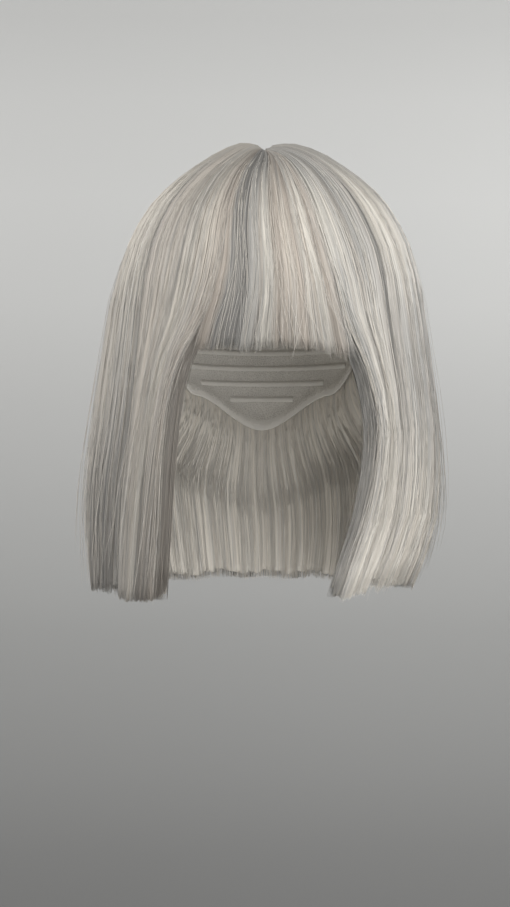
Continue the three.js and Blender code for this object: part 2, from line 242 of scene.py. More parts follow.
# what the pieces have in common: each one below says where it differs
hanging = {
    "fullTurn": 0,  # degrees added to the last edge, for a piece that runs round past 180
    "depth": hairSizes["lockDepth"], "drop": hairSizes["height"],
    "wall": hairSizes["wall"], "flare": hairSizes["underFlare"],
    "seams": (0, 0),  # 1 where the furrow beside the piece's first or last edge is open
    "edges": (0, 0),  # 1 where the first or the last edge is seen beside the face
    "ragged": 2.6 * mm,
    "baseEnd": 6 * mm,  # how far the solid body ends above the hem
    "hemStep": 1.5 * mm,  # how much shorter the inner strands are than the outer ones
    "tip": 0.3,
    "sweep": 0,
    "endShade": 0,
}
hairPieces = {
    "fringe": {
        "from": "fringeLeft", "to": "fringeRight", **hanging,
        "depth": hairSizes["fringeDepth"], "drop": hairSizes["fringeDrop"],
        "wall": hairSizes["fringeWall"], "flare": hairSizes["fringeFlare"],
        "locks": table(lockColumns, [
            [1.1, 0.25, 1.01], [0.9, 0.45, 1.0], [1.0, 1.0, 1.02], [0.8, 0.7, 1.01],
            [0.9, 0.9, 1.005], [0.8, 0.65, 1.01], [1.1, 0.9, 1.02], [1.2, 0.25, 1.04],
        ]),
        # painted shade: the dark columns at 0.12 to 0.26 and at 0.89 to 0.95 stand for the shaded under-hair
        # beside the front locks, and the lower row is darker where the fringe turns under; the other dark
        # columns are ash streaks
        "streaks": table(streakAndShadeColumns, [
            [0.00, 0.50, 0.27, 0.20, 0.75], [0.08, 0.47, 0.27, 0.20, 0.88], [0.12, 0.09, 0.14, 0.15, 0.40],
            [0.26, 0.04, 0.14, 0.30, 0.30], [0.31, 0.53, 0.46, 0.45, 0.20], [0.35, 0.47, 0.46, 0.50, 0.30],
            [0.38, 0.29, 0.33, 0.45, 0.75], [0.42, 0.91, 0.79, 0.40, 0.20], [0.47, 0.88, 0.72, 0.30, 0.20],
            [0.51, 0.25, 0.27, 0.30, 1.12], [0.56, 0.28, 0.33, 0.35, 1.00], [0.59, 0.72, 0.53, 0.40, 0.75],
            [0.64, 0.70, 0.53, 0.40, 0.50], [0.67, 0.28, 0.27, 0.20, 1.12], [0.71, 0.32, 0.27, 0.25, 1.00],
            [0.75, 0.91, 0.79, 0.50, 0.50], [0.85, 0.89, 0.79, 0.55, 0.50], [0.89, 0.24, 0.27, 0.40, 1.00],
            [0.95, 0.24, 0.27, 0.35, 0.88], [0.98, 0.66, 0.53, 0.40, 0.50], [1.00, 0.72, 0.53, 0.40, 0.40],
        ]),
        "strandsPerMm": 13, "fillers": 900, "innerStrands": 320, "flyaways": 46,
        "wispWidth": 2.6 * mm,
        "ragged": 2.2 * mm, "baseEnd": 9 * mm, "tip": 0.2, "seed": 11,
        "hemStep": 5 * mm, "endShade": 0.28, "crownTone": 0.44, "fade": 0.7,
    },
    "front_lock_left": {
        "from": "lockLeft", "to": "faceLeft", **hanging, "wall": hairSizes["faceWall"],
        "locks": table(lockColumns, [[0.9, 0.85, 0.992], [1.2, 1.0, 1.0], [1.0, 0.8, 0.996]]),
        # painted shade: the dark columns at the first edge stand for the seam beside side_left, and the
        # near-black lower tones towards the face edge for the strip that turns in towards the face
        "streaks": table(streakAndShadeColumns, [
            [0.00, 0.15, 0.20, 0.32, 0.40], [0.05, 0.32, 0.45, 0.32, 0.50], [0.10, 0.58, 0.60, 0.34, 0.50],
            [0.30, 0.66, 0.68, 0.47, 0.70], [0.42, 0.76, 0.70, 0.52, 0.80], [0.52, 0.78, 0.72, 0.82, 0.60],
            [0.66, 0.80, 0.94, 0.80, 0.60], [0.73, 0.96, 0.98, 0.27, 0.70], [0.78, 0.89, 0.45, 0.10, 0.50],
            [0.90, 0.82, 0.25, 0.07, 0.60], [0.95, 0.54, 0.20, 0.07, 0.70], [1.00, 0.52, 0.15, 0.04, 0.70],
        ]),
        "strandsPerMm": 13, "fillers": 700, "innerStrands": 200, "flyaways": 44,
        "seams": (1, 0), "edges": (0, 1), "wispWidth": 3.2 * mm,
        "ragged": 2.4 * mm, "seed": 12, "sweep": -9 * mm, "endShade": 0.14, "crownTone": 0.62, "fade": 0.8,
    },
    "front_lock_right": {
        "from": "faceRight", "to": "lockRight", **hanging, "wall": hairSizes["faceWall"],
        "locks": table(lockColumns, [[0.8, 0.7, 0.99], [1.0, 1.0, 0.98]]),
        # painted shade: the dark middle tone at the face edge stands for the shaded strip beside the face,
        # and the darker columns at the last edge for the seam beside side_right
        "streaks": table(streakAndShadeColumns, [
            [0.00, 0.65, 0.15, 0.40, 0.30], [0.15, 0.67, 0.35, 0.62, 0.20], [0.28, 0.63, 0.62, 0.90, 0.40],
            [0.34, 0.51, 0.72, 0.88, 0.40], [0.43, 0.49, 0.70, 0.86, 0.40], [0.47, 0.16, 0.45, 0.80, 0.50],
            [0.51, 0.20, 0.45, 0.85, 0.50], [0.55, 0.40, 0.68, 0.90, 0.40], [0.80, 0.40, 0.68, 0.85, 0.40],
            [0.88, 0.23, 0.40, 0.78, 0.40], [1.00, 0.28, 0.25, 0.80, 0.40],
        ]),
        "strandsPerMm": 13, "fillers": 700, "innerStrands": 200, "flyaways": 44,
        "seams": (0, 1), "edges": (1, 0), "wispWidth": 3.2 * mm,
        "seed": 13, "crownTone": 0.40, "fade": 0.8,
    },
    "side_left": {
        "from": "earLeft", "to": "lockLeft", **hanging,
        "locks": table(lockColumns, [
            [1.3, 0.8, 1.0], [1.1, 0.9, 0.99], [1.2, 0.8, 0.995], [0.8, 1.0, 0.985], [0.6, 0.7, 0.99],
        ]),
        # painted shade: the near-black lower row stands for the shade over the lower left side, and the dark
        # last column for the seam beside front_lock_left
        "streaks": table(streakAndShadeColumns, [
            [0.00, 0.60, 0.55, 0.38, 0.40], [0.20, 0.75, 0.65, 0.48, 0.50], [0.30, 0.62, 0.55, 0.38, 0.50],
            [0.50, 1.07, 0.77, 0.38, 0.50], [0.60, 1.12, 0.73, 0.28, 0.50], [0.66, 1.12, 0.67, 0.18, 0.50],
            [0.74, 1.12, 0.71, 0.02, 0.50], [0.86, 1.12, 0.63, 0.00, 0.40], [0.97, 1.12, 0.57, 0.00, 0.40],
            [1.00, 0.40, 0.29, 0.13, 0.40],
        ]),
        "strandsPerMm": 7, "fillers": 1000, "innerStrands": 200, "flyaways": 60,
        "seams": (0, 1), "edges": (0, 0), "wispWidth": 3.6 * mm,
        "seed": 14, "sweep": -12 * mm, "endShade": 0.2, "crownTone": 0.6, "fade": 0.85,
    },
    "side_right": {
        "from": "lockRight", "to": "earRight", **hanging,
        "locks": table(lockColumns, [
            [0.8, 1.0, 0.975], [1.0, 0.8, 0.972], [1.2, 1.0, 0.982], [1.1, 0.8, 0.99], [1.3, 0.9, 1.0],
        ]),
        # painted shade: the dark first column stands for the seam beside front_lock_right, and the darker
        # middle row for the shade on the middle of the side
        "streaks": table(streakAndShadeColumns, [
            [0.00, 0.30, 0.17, 0.70, 0.40], [0.03, 0.70, 0.32, 0.78, 0.40], [0.06, 0.95, 0.36, 0.86, 0.40],
            [0.20, 0.95, 0.30, 0.92, 0.40], [0.27, 0.88, 0.28, 0.84, 0.40], [0.35, 0.92, 0.36, 0.90, 0.40],
            [0.36, 0.45, 0.22, 0.40, 0.50], [0.38, 0.50, 0.26, 0.52, 0.50], [0.40, 0.95, 0.38, 0.90, 0.40],
            [0.60, 0.85, 0.44, 0.80, 0.40], [0.80, 0.55, 0.42, 0.50, 0.40], [1.00, 0.55, 0.42, 0.50, 0.40],
        ]),
        "strandsPerMm": 6.6, "fillers": 1000, "innerStrands": 200, "flyaways": 44,
        "seams": (1, 0), "edges": (0, 0), "wispWidth": 3.6 * mm,
        "seed": 15, "crownTone": 0.5, "fade": 0.85,
    },
    "back": {
        "from": "earRight", "to": "earLeft", **hanging, "fullTurn": 360,
        "locks": table(lockColumns, [
            [1.1, 0.8, 0.995], [0.9, 1.0, 1.0], [1.2, 0.7, 0.99], [1.0, 0.9, 1.0], [0.8, 0.75, 0.995],
            [1.1, 1.0, 1.0], [0.9, 0.7, 0.99], [1.2, 0.9, 1.0], [1.0, 0.8, 0.995],
        ]),
        "streaks": table(streakAndShadeColumns, [
            [0.00, 0.55, 0.50, 0.50, 0.4], [0.08, 0.70, 0.65, 0.6, 0.5], [0.13, 0.45, 0.45, 0.5, 0.6],
            [0.22, 0.60, 0.60, 0.60, 0.3], [0.30, 0.85, 0.75, 0.7, 0.5], [0.34, 0.40, 0.45, 0.5, 0.7],
            [0.45, 0.62, 0.60, 0.55, 0.4], [0.50, 0.78, 0.70, 0.6, 0.3], [0.55, 0.42, 0.45, 0.5, 0.7],
            [0.66, 0.66, 0.60, 0.60, 0.5], [0.74, 0.84, 0.75, 0.7, 0.4], [0.79, 0.45, 0.45, 0.5, 0.7],
            [0.90, 0.68, 0.60, 0.60, 0.5], [1.00, 0.55, 0.50, 0.5, 0.4],
        ]),
        "strandsPerMm": 4, "fillers": 1200, "innerStrands": 800, "flyaways": 60,
        "wispWidth": 4 * mm,
        "seed": 16, "crownTone": 0.7, "fade": 0.7,
    },
}
combing = {
    "strandWidth": 0.38 * mm,
    "sides": 3,
    "bodySink": 1.05 * mm,  # how deep the solid body of the hair lies below its surface
    "crownSink": 1.2 * mm,  # and at the crown, where the strands are long chords of a curve
    "layer": 0.5 * mm,  # depth over which the outer strands lie
    "rootStart": 0.15,  # the station where strands begin
    "bend": 7,  # the station where the hair begins to hang
    "bentRows": 12,  # points of a strand above that, and below
    "hangingRows": 9,
    "lateShare": 0.5,  # strands that come out from under others
    "lateDepth": 2.4 * mm,
    "furrowShare": 0.4,  # inside a piece the strands half fill the furrows of the solids
    "seamWidth": 3.0 * mm,
    "seamStart": (4.0, 7.0),  # stations over which the furrows beside the face open
    "wave": 0.12 * mm,
    "frizz": 0.02 * mm,
    "frizzScale": 34.0,
    "tipStart": 0.96,  # the share of a strand at which it tapers
    "overhang": 0.006,  # how far strands may cross a piece's edges, as a share of it
    "streakPace": 0.35,  # how far the streak pattern moves on at each station
    "toneHeights": (6.5, 9.8, 13.0),  # the stations of the three heights of the streak tables
    "crownFade": (3.4, 5.6),  # the stations where the crown's even tone gives way to the streaks
    "sweepStations": (9, 15),  # and where the combing drifts sideways
}
flying = {
    "width": 0.26 * mm,
    "reach": (1.5 * mm, 9 * mm),  # how far the loose hairs stand off at their tips
    "wander": 11 * mm,
    "wave": 1.5 * mm,
    "start": (3, 11),  # stations
    "past": (-45 * mm, 5 * mm),  # where they end, from the hem
    "fringeStart": (2, 6),
    "fringePast": (-8 * mm, 7 * mm),
    "tip": 0.3,
    "facing": 0.6,
    "tone": (0.5, 0.95),
    "warmth": (0.3, 0.7),
}
perStation = 24 * mm  # the usual length of hair between two stations


def turnAt(piece, u, t):
    a = along(partings[piece["from"]], t)
    b = along(partings[piece["to"]], t) + piece["fullTurn"]
    return lerp(a, b, u)


# how far the combing drifts sideways towards the hem, as a share of the piece
def swept(piece, u, t):
    edge = np.clip(u, 0, 1)
    return piece["sweep"] / piece["span"] * 4 * edge * (1 - edge) * smooth(t, *combing["sweepStations"])


# the width of a piece at a station
def spanAt(piece, t):
    shares = np.linspace(0, 1, 25)
    points = hairPoint(turnAt(piece, shares, t), t)
    return np.linalg.norm(np.diff(points, axis=0), axis=1).sum()


def prepare(piece):
    widths = piece["locks"]["width"]
    piece["bounds"] = np.concatenate([[0], np.cumsum(widths)]) / widths.sum()
    piece["middles"] = (piece["bounds"][1:] + piece["bounds"][:-1]) / 2
    piece["span"] = spanAt(piece, 8)
    # the station at which each column reaches the hem
    piece["endShares"] = np.linspace(-0.03, 1.03, 54)
    reach = np.interp(piece["endShares"], piece["middles"], piece["locks"]["reach"]) * piece["drop"]
    ends = []
    for u, length in zip(piece["endShares"], reach):
        t = np.linspace(hairSizes["fullRelief"], lastStation, 200)
        drops = hairSizes["crownLoft"] - hairPoint(turnAt(piece, u, t), t)[:, 2]
        ends.append(np.interp(length, drops, t))
    piece["ends"] = np.array(ends)


def endStation(piece, u):
    return np.interp(u, piece["endShares"], piece["ends"])


# how far a lock lies below the smooth hair
def furrow(piece, u, t):
    bounds = piece["bounds"]
    k = np.clip(np.searchsorted(bounds, u, side="right") - 1, 0, len(bounds) - 2)
    q = np.clip((u - bounds[k]) / (bounds[k + 1] - bounds[k]), 0, 1)
    arch = np.sqrt(np.clip(np.sin(np.pi * q), 0, 1))
    relief = smooth(t, 0, hairSizes["fullRelief"])
    return piece["depth"] * (1 - piece["locks"]["rise"][k] * arch) * relief


# points of the hair at share u across a piece, station t and depth below the locks' surface
def combedPoint(piece, u, t, depth):
    surface = hairPoint(turnAt(piece, u, t), t)
    reach = combing["seamWidth"] / piece["span"]
    open0, open1 = piece["seams"]
    seam = np.maximum(open0 * np.exp(-((u / reach) ** 2)), open1 * np.exp(-(((1 - u) / reach) ** 2)))
    share = lerp(combing["furrowShare"], 1, seam * smooth(t, *combing["seamStart"]))
    return surface - outward(surface) * (share * furrow(piece, u, t) + depth)[..., None]


# the inner surface of the hair, on the cap above its edge and free below
def innerPoint(piece, u, t):
    turn = turnAt(piece, u, t)
    surface = hairPoint(turn, t)
    out = outward(surface)
    outer = surface - out * furrow(piece, u, t)[..., None]
    edge = -capEdgeDrop(turn)
    seated = smooth(outer[..., 2], edge - piece["flare"], edge)[..., None]
    seat = capSizes["wall"] + capSizes["seatGap"]
    return lerp(outer - out * piece["wall"], underPoint(outer, out, seat), seated), out


for hairPiece in hairPieces.values():
    prepare(hairPiece)
print("stage: form ready")


# Node helpers

def newGroup(name, kind, inputs, outputs):
    group = bpy.data.node_groups.new(name, kind)
    for label, socket, value in inputs:
        made = group.interface.new_socket(label, in_out="INPUT", socket_type="NodeSocket" + socket)
        if value is not None:
            made.default_value = value
    for label, socket in outputs:
        group.interface.new_socket(label, in_out="OUTPUT", socket_type="NodeSocket" + socket)
    start = group.nodes.new("NodeGroupInput")
    return group, start.outputs, group.nodes.new("NodeGroupOutput")


# sets each input to a value, or links it to a socket
def setInputs(tree, node, inputs):
    for key, value in inputs.items():
        if isinstance(value, bpy.types.NodeSocket):
            tree.links.new(value, node.inputs[key])
        else:
            node.inputs[key].default_value = value
    return node


def addNode(tree, kind, inputs=None, **settings):
    node = tree.nodes.new(kind)
    for key, value in settings.items():
        setattr(node, key, value)
    return setInputs(tree, node, inputs or {})


def mathNode(tree, operation, *values):
    return addNode(tree, "ShaderNodeMath", dict(enumerate(values)), operation=operation).outputs[0]


def vectorNode(tree, operation, vector, other=None):
    inputs = {0: vector}
    if other is not None:
        inputs["Scale" if operation == "SCALE" else 1] = other
    return addNode(tree, "ShaderNodeVectorMath", inputs, operation=operation).outputs[0]


def rangeNode(tree, value, fromMin, fromMax, toMin=0.0, toMax=1.0, kind="LINEAR"):
    limits = {"From Min": fromMin, "From Max": fromMax, "To Min": toMin, "To Max": toMax}
    return addNode(tree, "ShaderNodeMapRange", {"Value": value, **limits}, interpolation_type=kind).outputs[0]


def mixNode(tree, share, a, b):
    inputs = {"Factor": share, "A": a, "B": b}
    return addNode(tree, "ShaderNodeMix", inputs, data_type="RGBA").outputs["Result"]


def bumpNode(tree, height, strength, distance):
    inputs = {"Height": height, "Strength": strength, "Distance": distance}
    return addNode(tree, "ShaderNodeBump", inputs).outputs[0]


def newMaterial(name):
    material = bpy.data.materials.new(name)
    material.use_nodes = True
    tree = material.node_tree
    return material, tree, tree.nodes["Principled BSDF"]


# Hair colour

finishes = {
    "ash": (0.300, 0.292, 0.278, 1),  # the darkest strands
    "grey": (0.525, 0.507, 0.476, 1),
    "greyTone": 0.45,  # the tone at which hair is grey
    "cream": (0.770, 0.728, 0.650, 1),
    "rose": (0.625, 0.522, 0.425, 1),  # warm tint of some strands
    "roseStart": 0.3,  # the warmth at which the tint begins
    "roseShare": 0.55,  # its share in the warmest strands
    "specular": 0.4,
    "bumpDepth": 0.3 * mm,
}
# the width of each kind of streak in millimetres, and how fast it changes along the hair
streakKinds = {"Bands": (5.5, 0.3), "Wisps": (1.7, 0.5), "Strands": (0.6, 1.1)}


# one strand's colour from its tone, warmth and shade
def hairColourGroup():
    inputs = [("Tone", "Float", 0.5), ("Warmth", "Float", 0.5), ("Shade", "Float", 0.0)]
    group, given, end = newGroup("hairColour", "ShaderNodeTree", inputs, [("Color", "Color")])
    ramp = addNode(group, "ShaderNodeValToRGB", {"Fac": given["Tone"]})
    elements = ramp.color_ramp.elements
    elements[0].color = finishes["ash"]
    elements[1].color = finishes["cream"]
    elements.new(finishes["greyTone"]).color = finishes["grey"]
    warm = rangeNode(group, given["Warmth"], finishes["roseStart"], 1, 0, finishes["roseShare"])
    tint = mixNode(group, warm, ramp.outputs["Color"], finishes["rose"])
    light = mathNode(group, "SUBTRACT", 1.0, given["Shade"])
    setInputs(group, end, {"Color": vectorNode(group, "SCALE", tint, light)})
    return group


# streaks that run along the hair, in broad bands, wisps and single strands
def streaksGroup():
    inputs = [("Place", "Vector", None)] + [(label, "Float", 0.5) for label in streakKinds]
    outputs = [("Tone", "Float"), ("Height", "Float")]
    group, given, end = newGroup("hairStreaks", "ShaderNodeTree", inputs, outputs)
    tones = []
    heights = []
    for label, (size, stretch) in streakKinds.items():
        scaled = vectorNode(group, "MULTIPLY", given["Place"], (1 / size, stretch, 1))
        grain = {"Vector": scaled, "Scale": 1.0, "Detail": 0.8, "Roughness": 0.5}
        noise = addNode(group, "ShaderNodeTexNoise", grain, noise_dimensions="2D")
        centred = mathNode(group, "SUBTRACT", noise.outputs["Fac"], 0.5)
        tones.append(mathNode(group, "MULTIPLY", centred, given[label]))
        heights.append(mathNode(group, "MULTIPLY", centred, size))
    broad = mathNode(group, "ADD", tones[0], tones[1])
    # the broad bands differ in tone alone
    height = mathNode(group, "ADD", heights[1], heights[2])
    setInputs(group, end, {"Tone": mathNode(group, "ADD", broad, tones[2]), "Height": height})
    return group


hairColour = hairColourGroup()
hairStreaks = streaksGroup()


# hair coloured by its own attributes and by the streaks that run along it
def hairMaterial(name, look):
    material, tree, shader = newMaterial(name)

    def own(label, output="Fac"):
        return addNode(tree, "ShaderNodeAttribute", attribute_name=label).outputs[output]

    place = addNode(tree, "ShaderNodeCombineXYZ", {"X": own("across"), "Y": own("lengthways")}).outputs[0]
    shares = {label: look[label.lower()] for label in streakKinds}
    streaks = addNode(tree, "ShaderNodeGroup", {"Place": place, **shares}, node_tree=hairStreaks)
    streakTone = streaks.outputs["Tone"]
    colour = addNode(tree, "ShaderNodeGroup", {
        "Tone": mathNode(tree, "ADD", streakTone, own("tone")),
        "Warmth": mathNode(tree, "MULTIPLY_ADD", streakTone, 0.5, own("warmth")),
        "Shade": own("shade"),
    }, node_tree=hairColour)
    setInputs(tree, shader, {
        "Base Color": colour.outputs["Color"],
        "Roughness": look["roughness"],
        "Specular IOR Level": finishes["specular"],
    })
    if look["lean"]:
        # strands take most of their shading from the surface that they lie on
        normal = tree.nodes.new("ShaderNodeNewGeometry").outputs["Normal"]
        upright = vectorNode(tree, "SCALE", normal, 1 - look["lean"])
        leaning = vectorNode(tree, "SCALE", own("away", "Vector"), look["lean"])
        both = vectorNode(tree, "ADD", upright, leaning)
        setInputs(tree, shader, {"Normal": vectorNode(tree, "NORMALIZE", both)})
    if look["bump"]:
        bump = bumpNode(tree, streaks.outputs["Height"], look["bump"], finishes["bumpDepth"])
        setInputs(tree, shader, {"Normal": bump})
    return material


strandFinish = hairMaterial("strandFinish", {
    "bands": 0.35, "wisps": 0.6, "strands": 0.6, "bump": 0, "lean": 0.75, "roughness": 0.5,
})
bodyFinish = hairMaterial("bodyFinish", {
    "bands": 0.35, "wisps": 0.6, "strands": 0.7, "bump": 0.35, "lean": 0, "roughness": 0.5,
})


# Strands: lines with tone, warmth and shade, given their round form by one node tree

# makes instances real, gives them their material and ends the tree
def finishTree(tree, geometry, material, end):
    real = addNode(tree, "GeometryNodeRealizeInstances", {"Geometry": geometry}).outputs[0]
    made = addNode(tree, "GeometryNodeSetMaterial", {"Geometry": real, "Material": material})
    tree.links.new(made.outputs[0], end.inputs[0])
    return tree


# tubes along lines, tapered at the tips
def strandTree():
    tree, given, end = newGroup("strandTree", "GeometryNodeTree", [
        ("Lines", "Geometry", None),
        ("Width", "Float", 0.5 * mm),
        ("Tip Share", "Float", 0.3),
        ("Tip Start", "Float", 0.96),
        ("Sides", "Int", 3),
        ("Frizz", "Float", 0.5 * mm),
        ("Frizz Scale", "Float", 34.0),
        ("Seed", "Float", 0.0),
        ("Material", "Material", None),
    ], [("Strands", "Geometry")])
    lines = addNode(tree, "GeometryNodeMeshToCurve", {"Mesh": given["Lines"]}).outputs[0]
    place = tree.nodes.new("GeometryNodeInputPosition").outputs[0]
    factor = tree.nodes.new("GeometryNodeSplineParameter").outputs["Factor"]
    # frizz grows from the root, at random from strand to strand
    moved = vectorNode(tree, "ADD", place, given["Seed"])
    grain = {"Vector": moved, "Scale": given["Frizz Scale"], "Detail": 2.0}
    noise = addNode(tree, "ShaderNodeTexNoise", grain).outputs["Color"]
    centred = vectorNode(tree, "SUBTRACT", noise, (0.5, 0.5, 0.5))
    reach = mathNode(tree, "MULTIPLY", mathNode(tree, "MULTIPLY", factor, given["Frizz"]), 2.0)
    shift = vectorNode(tree, "SCALE", centred, reach)
    frizzed = addNode(tree, "GeometryNodeSetPosition", {"Geometry": lines, "Offset": shift}).outputs[0]
    taper = rangeNode(tree, factor, given["Tip Start"], 1.0, 1.0, given["Tip Share"], "SMOOTHSTEP")
    ring = {"Resolution": given["Sides"], "Radius": mathNode(tree, "DIVIDE", given["Width"], 2.0)}
    profile = addNode(tree, "GeometryNodeCurvePrimitiveCircle", ring).outputs[0]
    sweep = {"Curve": frizzed, "Profile Curve": profile, "Scale": taper, "Fill Caps": True}
    tubes = addNode(tree, "GeometryNodeCurveToMesh", sweep).outputs[0]
    shaded = addNode(tree, "GeometryNodeSetShadeSmooth", {"Geometry": tubes}).outputs[0]
    return finishTree(tree, shaded, given["Material"], end)


strandNodes = strandTree()


# runs a node tree on an object and gives its result as a plain mesh
def grown(thing, tree, values):
    modifier = thing.modifiers.new(tree.name, "NODES")
    modifier.node_group = tree
    for item in tree.interface.items_tree:
        if item.in_out == "INPUT" and item.name in values:
            modifier[item.identifier] = values[item.name]
    scene.collection.objects.link(thing)
    seen = thing.evaluated_get(bpy.context.evaluated_depsgraph_get())
    mesh = bpy.data.meshes.new_from_object(seen)
    thing.modifiers.remove(modifier)
    bpy.data.objects.remove(thing)
    return mesh


hairAttributes = ("tone", "warmth", "shade", "across", "lengthways")


def pointAttribute(mesh, label, values, kind="FLOAT", key="value"):
    data = mesh.attributes.new(label, kind, "POINT").data
    data.foreach_set(key, values.astype(np.float32).ravel())


# bundles hold points (strand, point, xyz) with a value of each attribute for each strand or point
def linesMesh(name, bundles):
    points = np.concatenate([bundle["points"].reshape(-1, 3) for bundle in bundles])
    mesh = bpy.data.meshes.new(name)
    mesh.vertices.add(len(points))
    mesh.vertices.foreach_set("co", points.astype(np.float32).ravel())
    pairs = []
    first = 0
    for bundle in bundles:
        count, length = bundle["points"].shape[:2]
        starts = first + np.arange(count)[:, None] * length + np.arange(length - 1)
        pairs.append(np.stack([starts, starts + 1], -1).reshape(-1, 2))
        first += count * length
    pairs = np.concatenate(pairs)
    mesh.edges.add(len(pairs))
    mesh.edges.foreach_set("vertices", pairs.astype(np.int32).ravel())
    for label in hairAttributes:
        values = [
            np.broadcast_to(np.atleast_2d(bundle[label].T).T, bundle["points"].shape[:2]).ravel()
            for bundle in bundles
        ]
        pointAttribute(mesh, label, np.concatenate(values))
    away = [(outward(bundle["points"]) * bundle["facing"]).reshape(-1, 3) for bundle in bundles]
    pointAttribute(mesh, "away", np.concatenate(away), "FLOAT_VECTOR", "vector")
    mesh.update()
    return mesh


def strandsMesh(name, bundles, width, tip, seed):
    lines = bpy.data.objects.new(name, linesMesh(name + "Lines", bundles))
    return grown(lines, strandNodes, {
        "Width": width,
        "Tip Share": tip,
        "Tip Start": combing["tipStart"],
        "Sides": combing["sides"],
        "Frizz": combing["frizz"],
        "Frizz Scale": combing["frizzScale"],
        "Seed": float(seed),
        "Material": strandFinish,
    })


# the tone of the hair at share u across a piece and at station t, with the painted shade and light that the
# tables hold
def toneAndShadeAt(piece, u, t):
    streaks = piece["streaks"]
    u = u - swept(piece, u, t)
    heights = ("upper", "middle", "lower")
    upper, middle, lower = (np.interp(u, streaks["place"], streaks[height]) for height in heights)
    high, half, low = combing["toneHeights"]
    start, end = combing["crownFade"]
    upper = lerp(upper, piece["crownTone"], piece["fade"] * smooth(-t, -end, -start))
    return lerp(lerp(upper, middle, smooth(t, high, half)), lower, smooth(t, half, low))


def warmthAt(piece, u):
    return np.interp(u, piece["streaks"]["place"], piece["streaks"]["warmth"])


# where a point lies in the streak pattern: millimetres across, and shares of the hair's length
def placeOf(piece, u, t):
    combed = u - swept(piece, u, t)
    lengthways = t * combing["streakPace"] + piece["seed"]
    return np.stack(np.broadcast_arrays(combed * piece["span"] / mm, lengthways), -1)


# strands at shares u and stations t. facing is 1 for strands on the outside, -1 for those on the inside, and
# near 0 for those that no surface shades. aside keeps the inside's streaks apart from those of the outside
def bundleOf(piece, u, t, points, facing, tone, warmth, shade, aside=0):
    place = placeOf(piece, u, t)
    return {
        "points": points, "facing": facing, "tone": tone, "warmth": warmth, "shade": shade,
        "across": place[..., 0] + aside, "lengthways": place[..., 1],
    }


# strands from stations start to end, in even steps
def steps(start, end, count):
    s = np.linspace(0, 1, count)[None, :]
    return s, start[:, None] + (end - start)[:, None] * s


# a wave along strands that differs from one to the next
def swaying(s, waves, rng, total):
    return np.sin(s * waves + rng.uniform(0, 6.28, total)[:, None])


wispLook = {
    "place": (0.1, 0.9),  # where a wisp lies in its own share of the piece
    "half": (0.8, 1.9),  # half its width, in such shares
    "tone": 0.045,  # how much wisps differ, here and below
    "warmth": 0.14,
    "lift": 0.15 * mm,
    "drift": 0.7 * mm,
    "shorter": 0.3,  # in shares of the piece's raggedness
    "strandTone": 0.03,  # how much the strands of one wisp differ
    "strandSpread": 0.55,
    "spreadLimit": 1.4,
    "strandShorter": (0.4, 0.5, 0.4),  # either way, in single strands, and at the wisp's sides
    "gather": (0.14, 0.06),  # how much wisps close up on the way down, and at their ends
    "darkest": 0.8,
}


# wisps are small groups of strands that share a tone, a height, a drift and a length
def wispsOf(piece, rng):
    count = max(6, int(piece["span"] / piece["wispWidth"]))
    middle = (np.arange(count) + rng.uniform(*wispLook["place"], count)) / count
    return {
        "middle": middle,
        "half": rng.uniform(*wispLook["half"], count) / count,
        "tone": rng.normal(0, wispLook["tone"], count),
        "warmth": rng.normal(0, wispLook["warmth"], count),
        "lift": rng.normal(0, wispLook["lift"], count),
        "drift": rng.normal(0, wispLook["drift"], count) / piece["span"],
        "shorter": rng.normal(0, wispLook["shorter"] * piece["ragged"], count),
        "phase": rng.uniform(0, 2 * np.pi, count),
    }


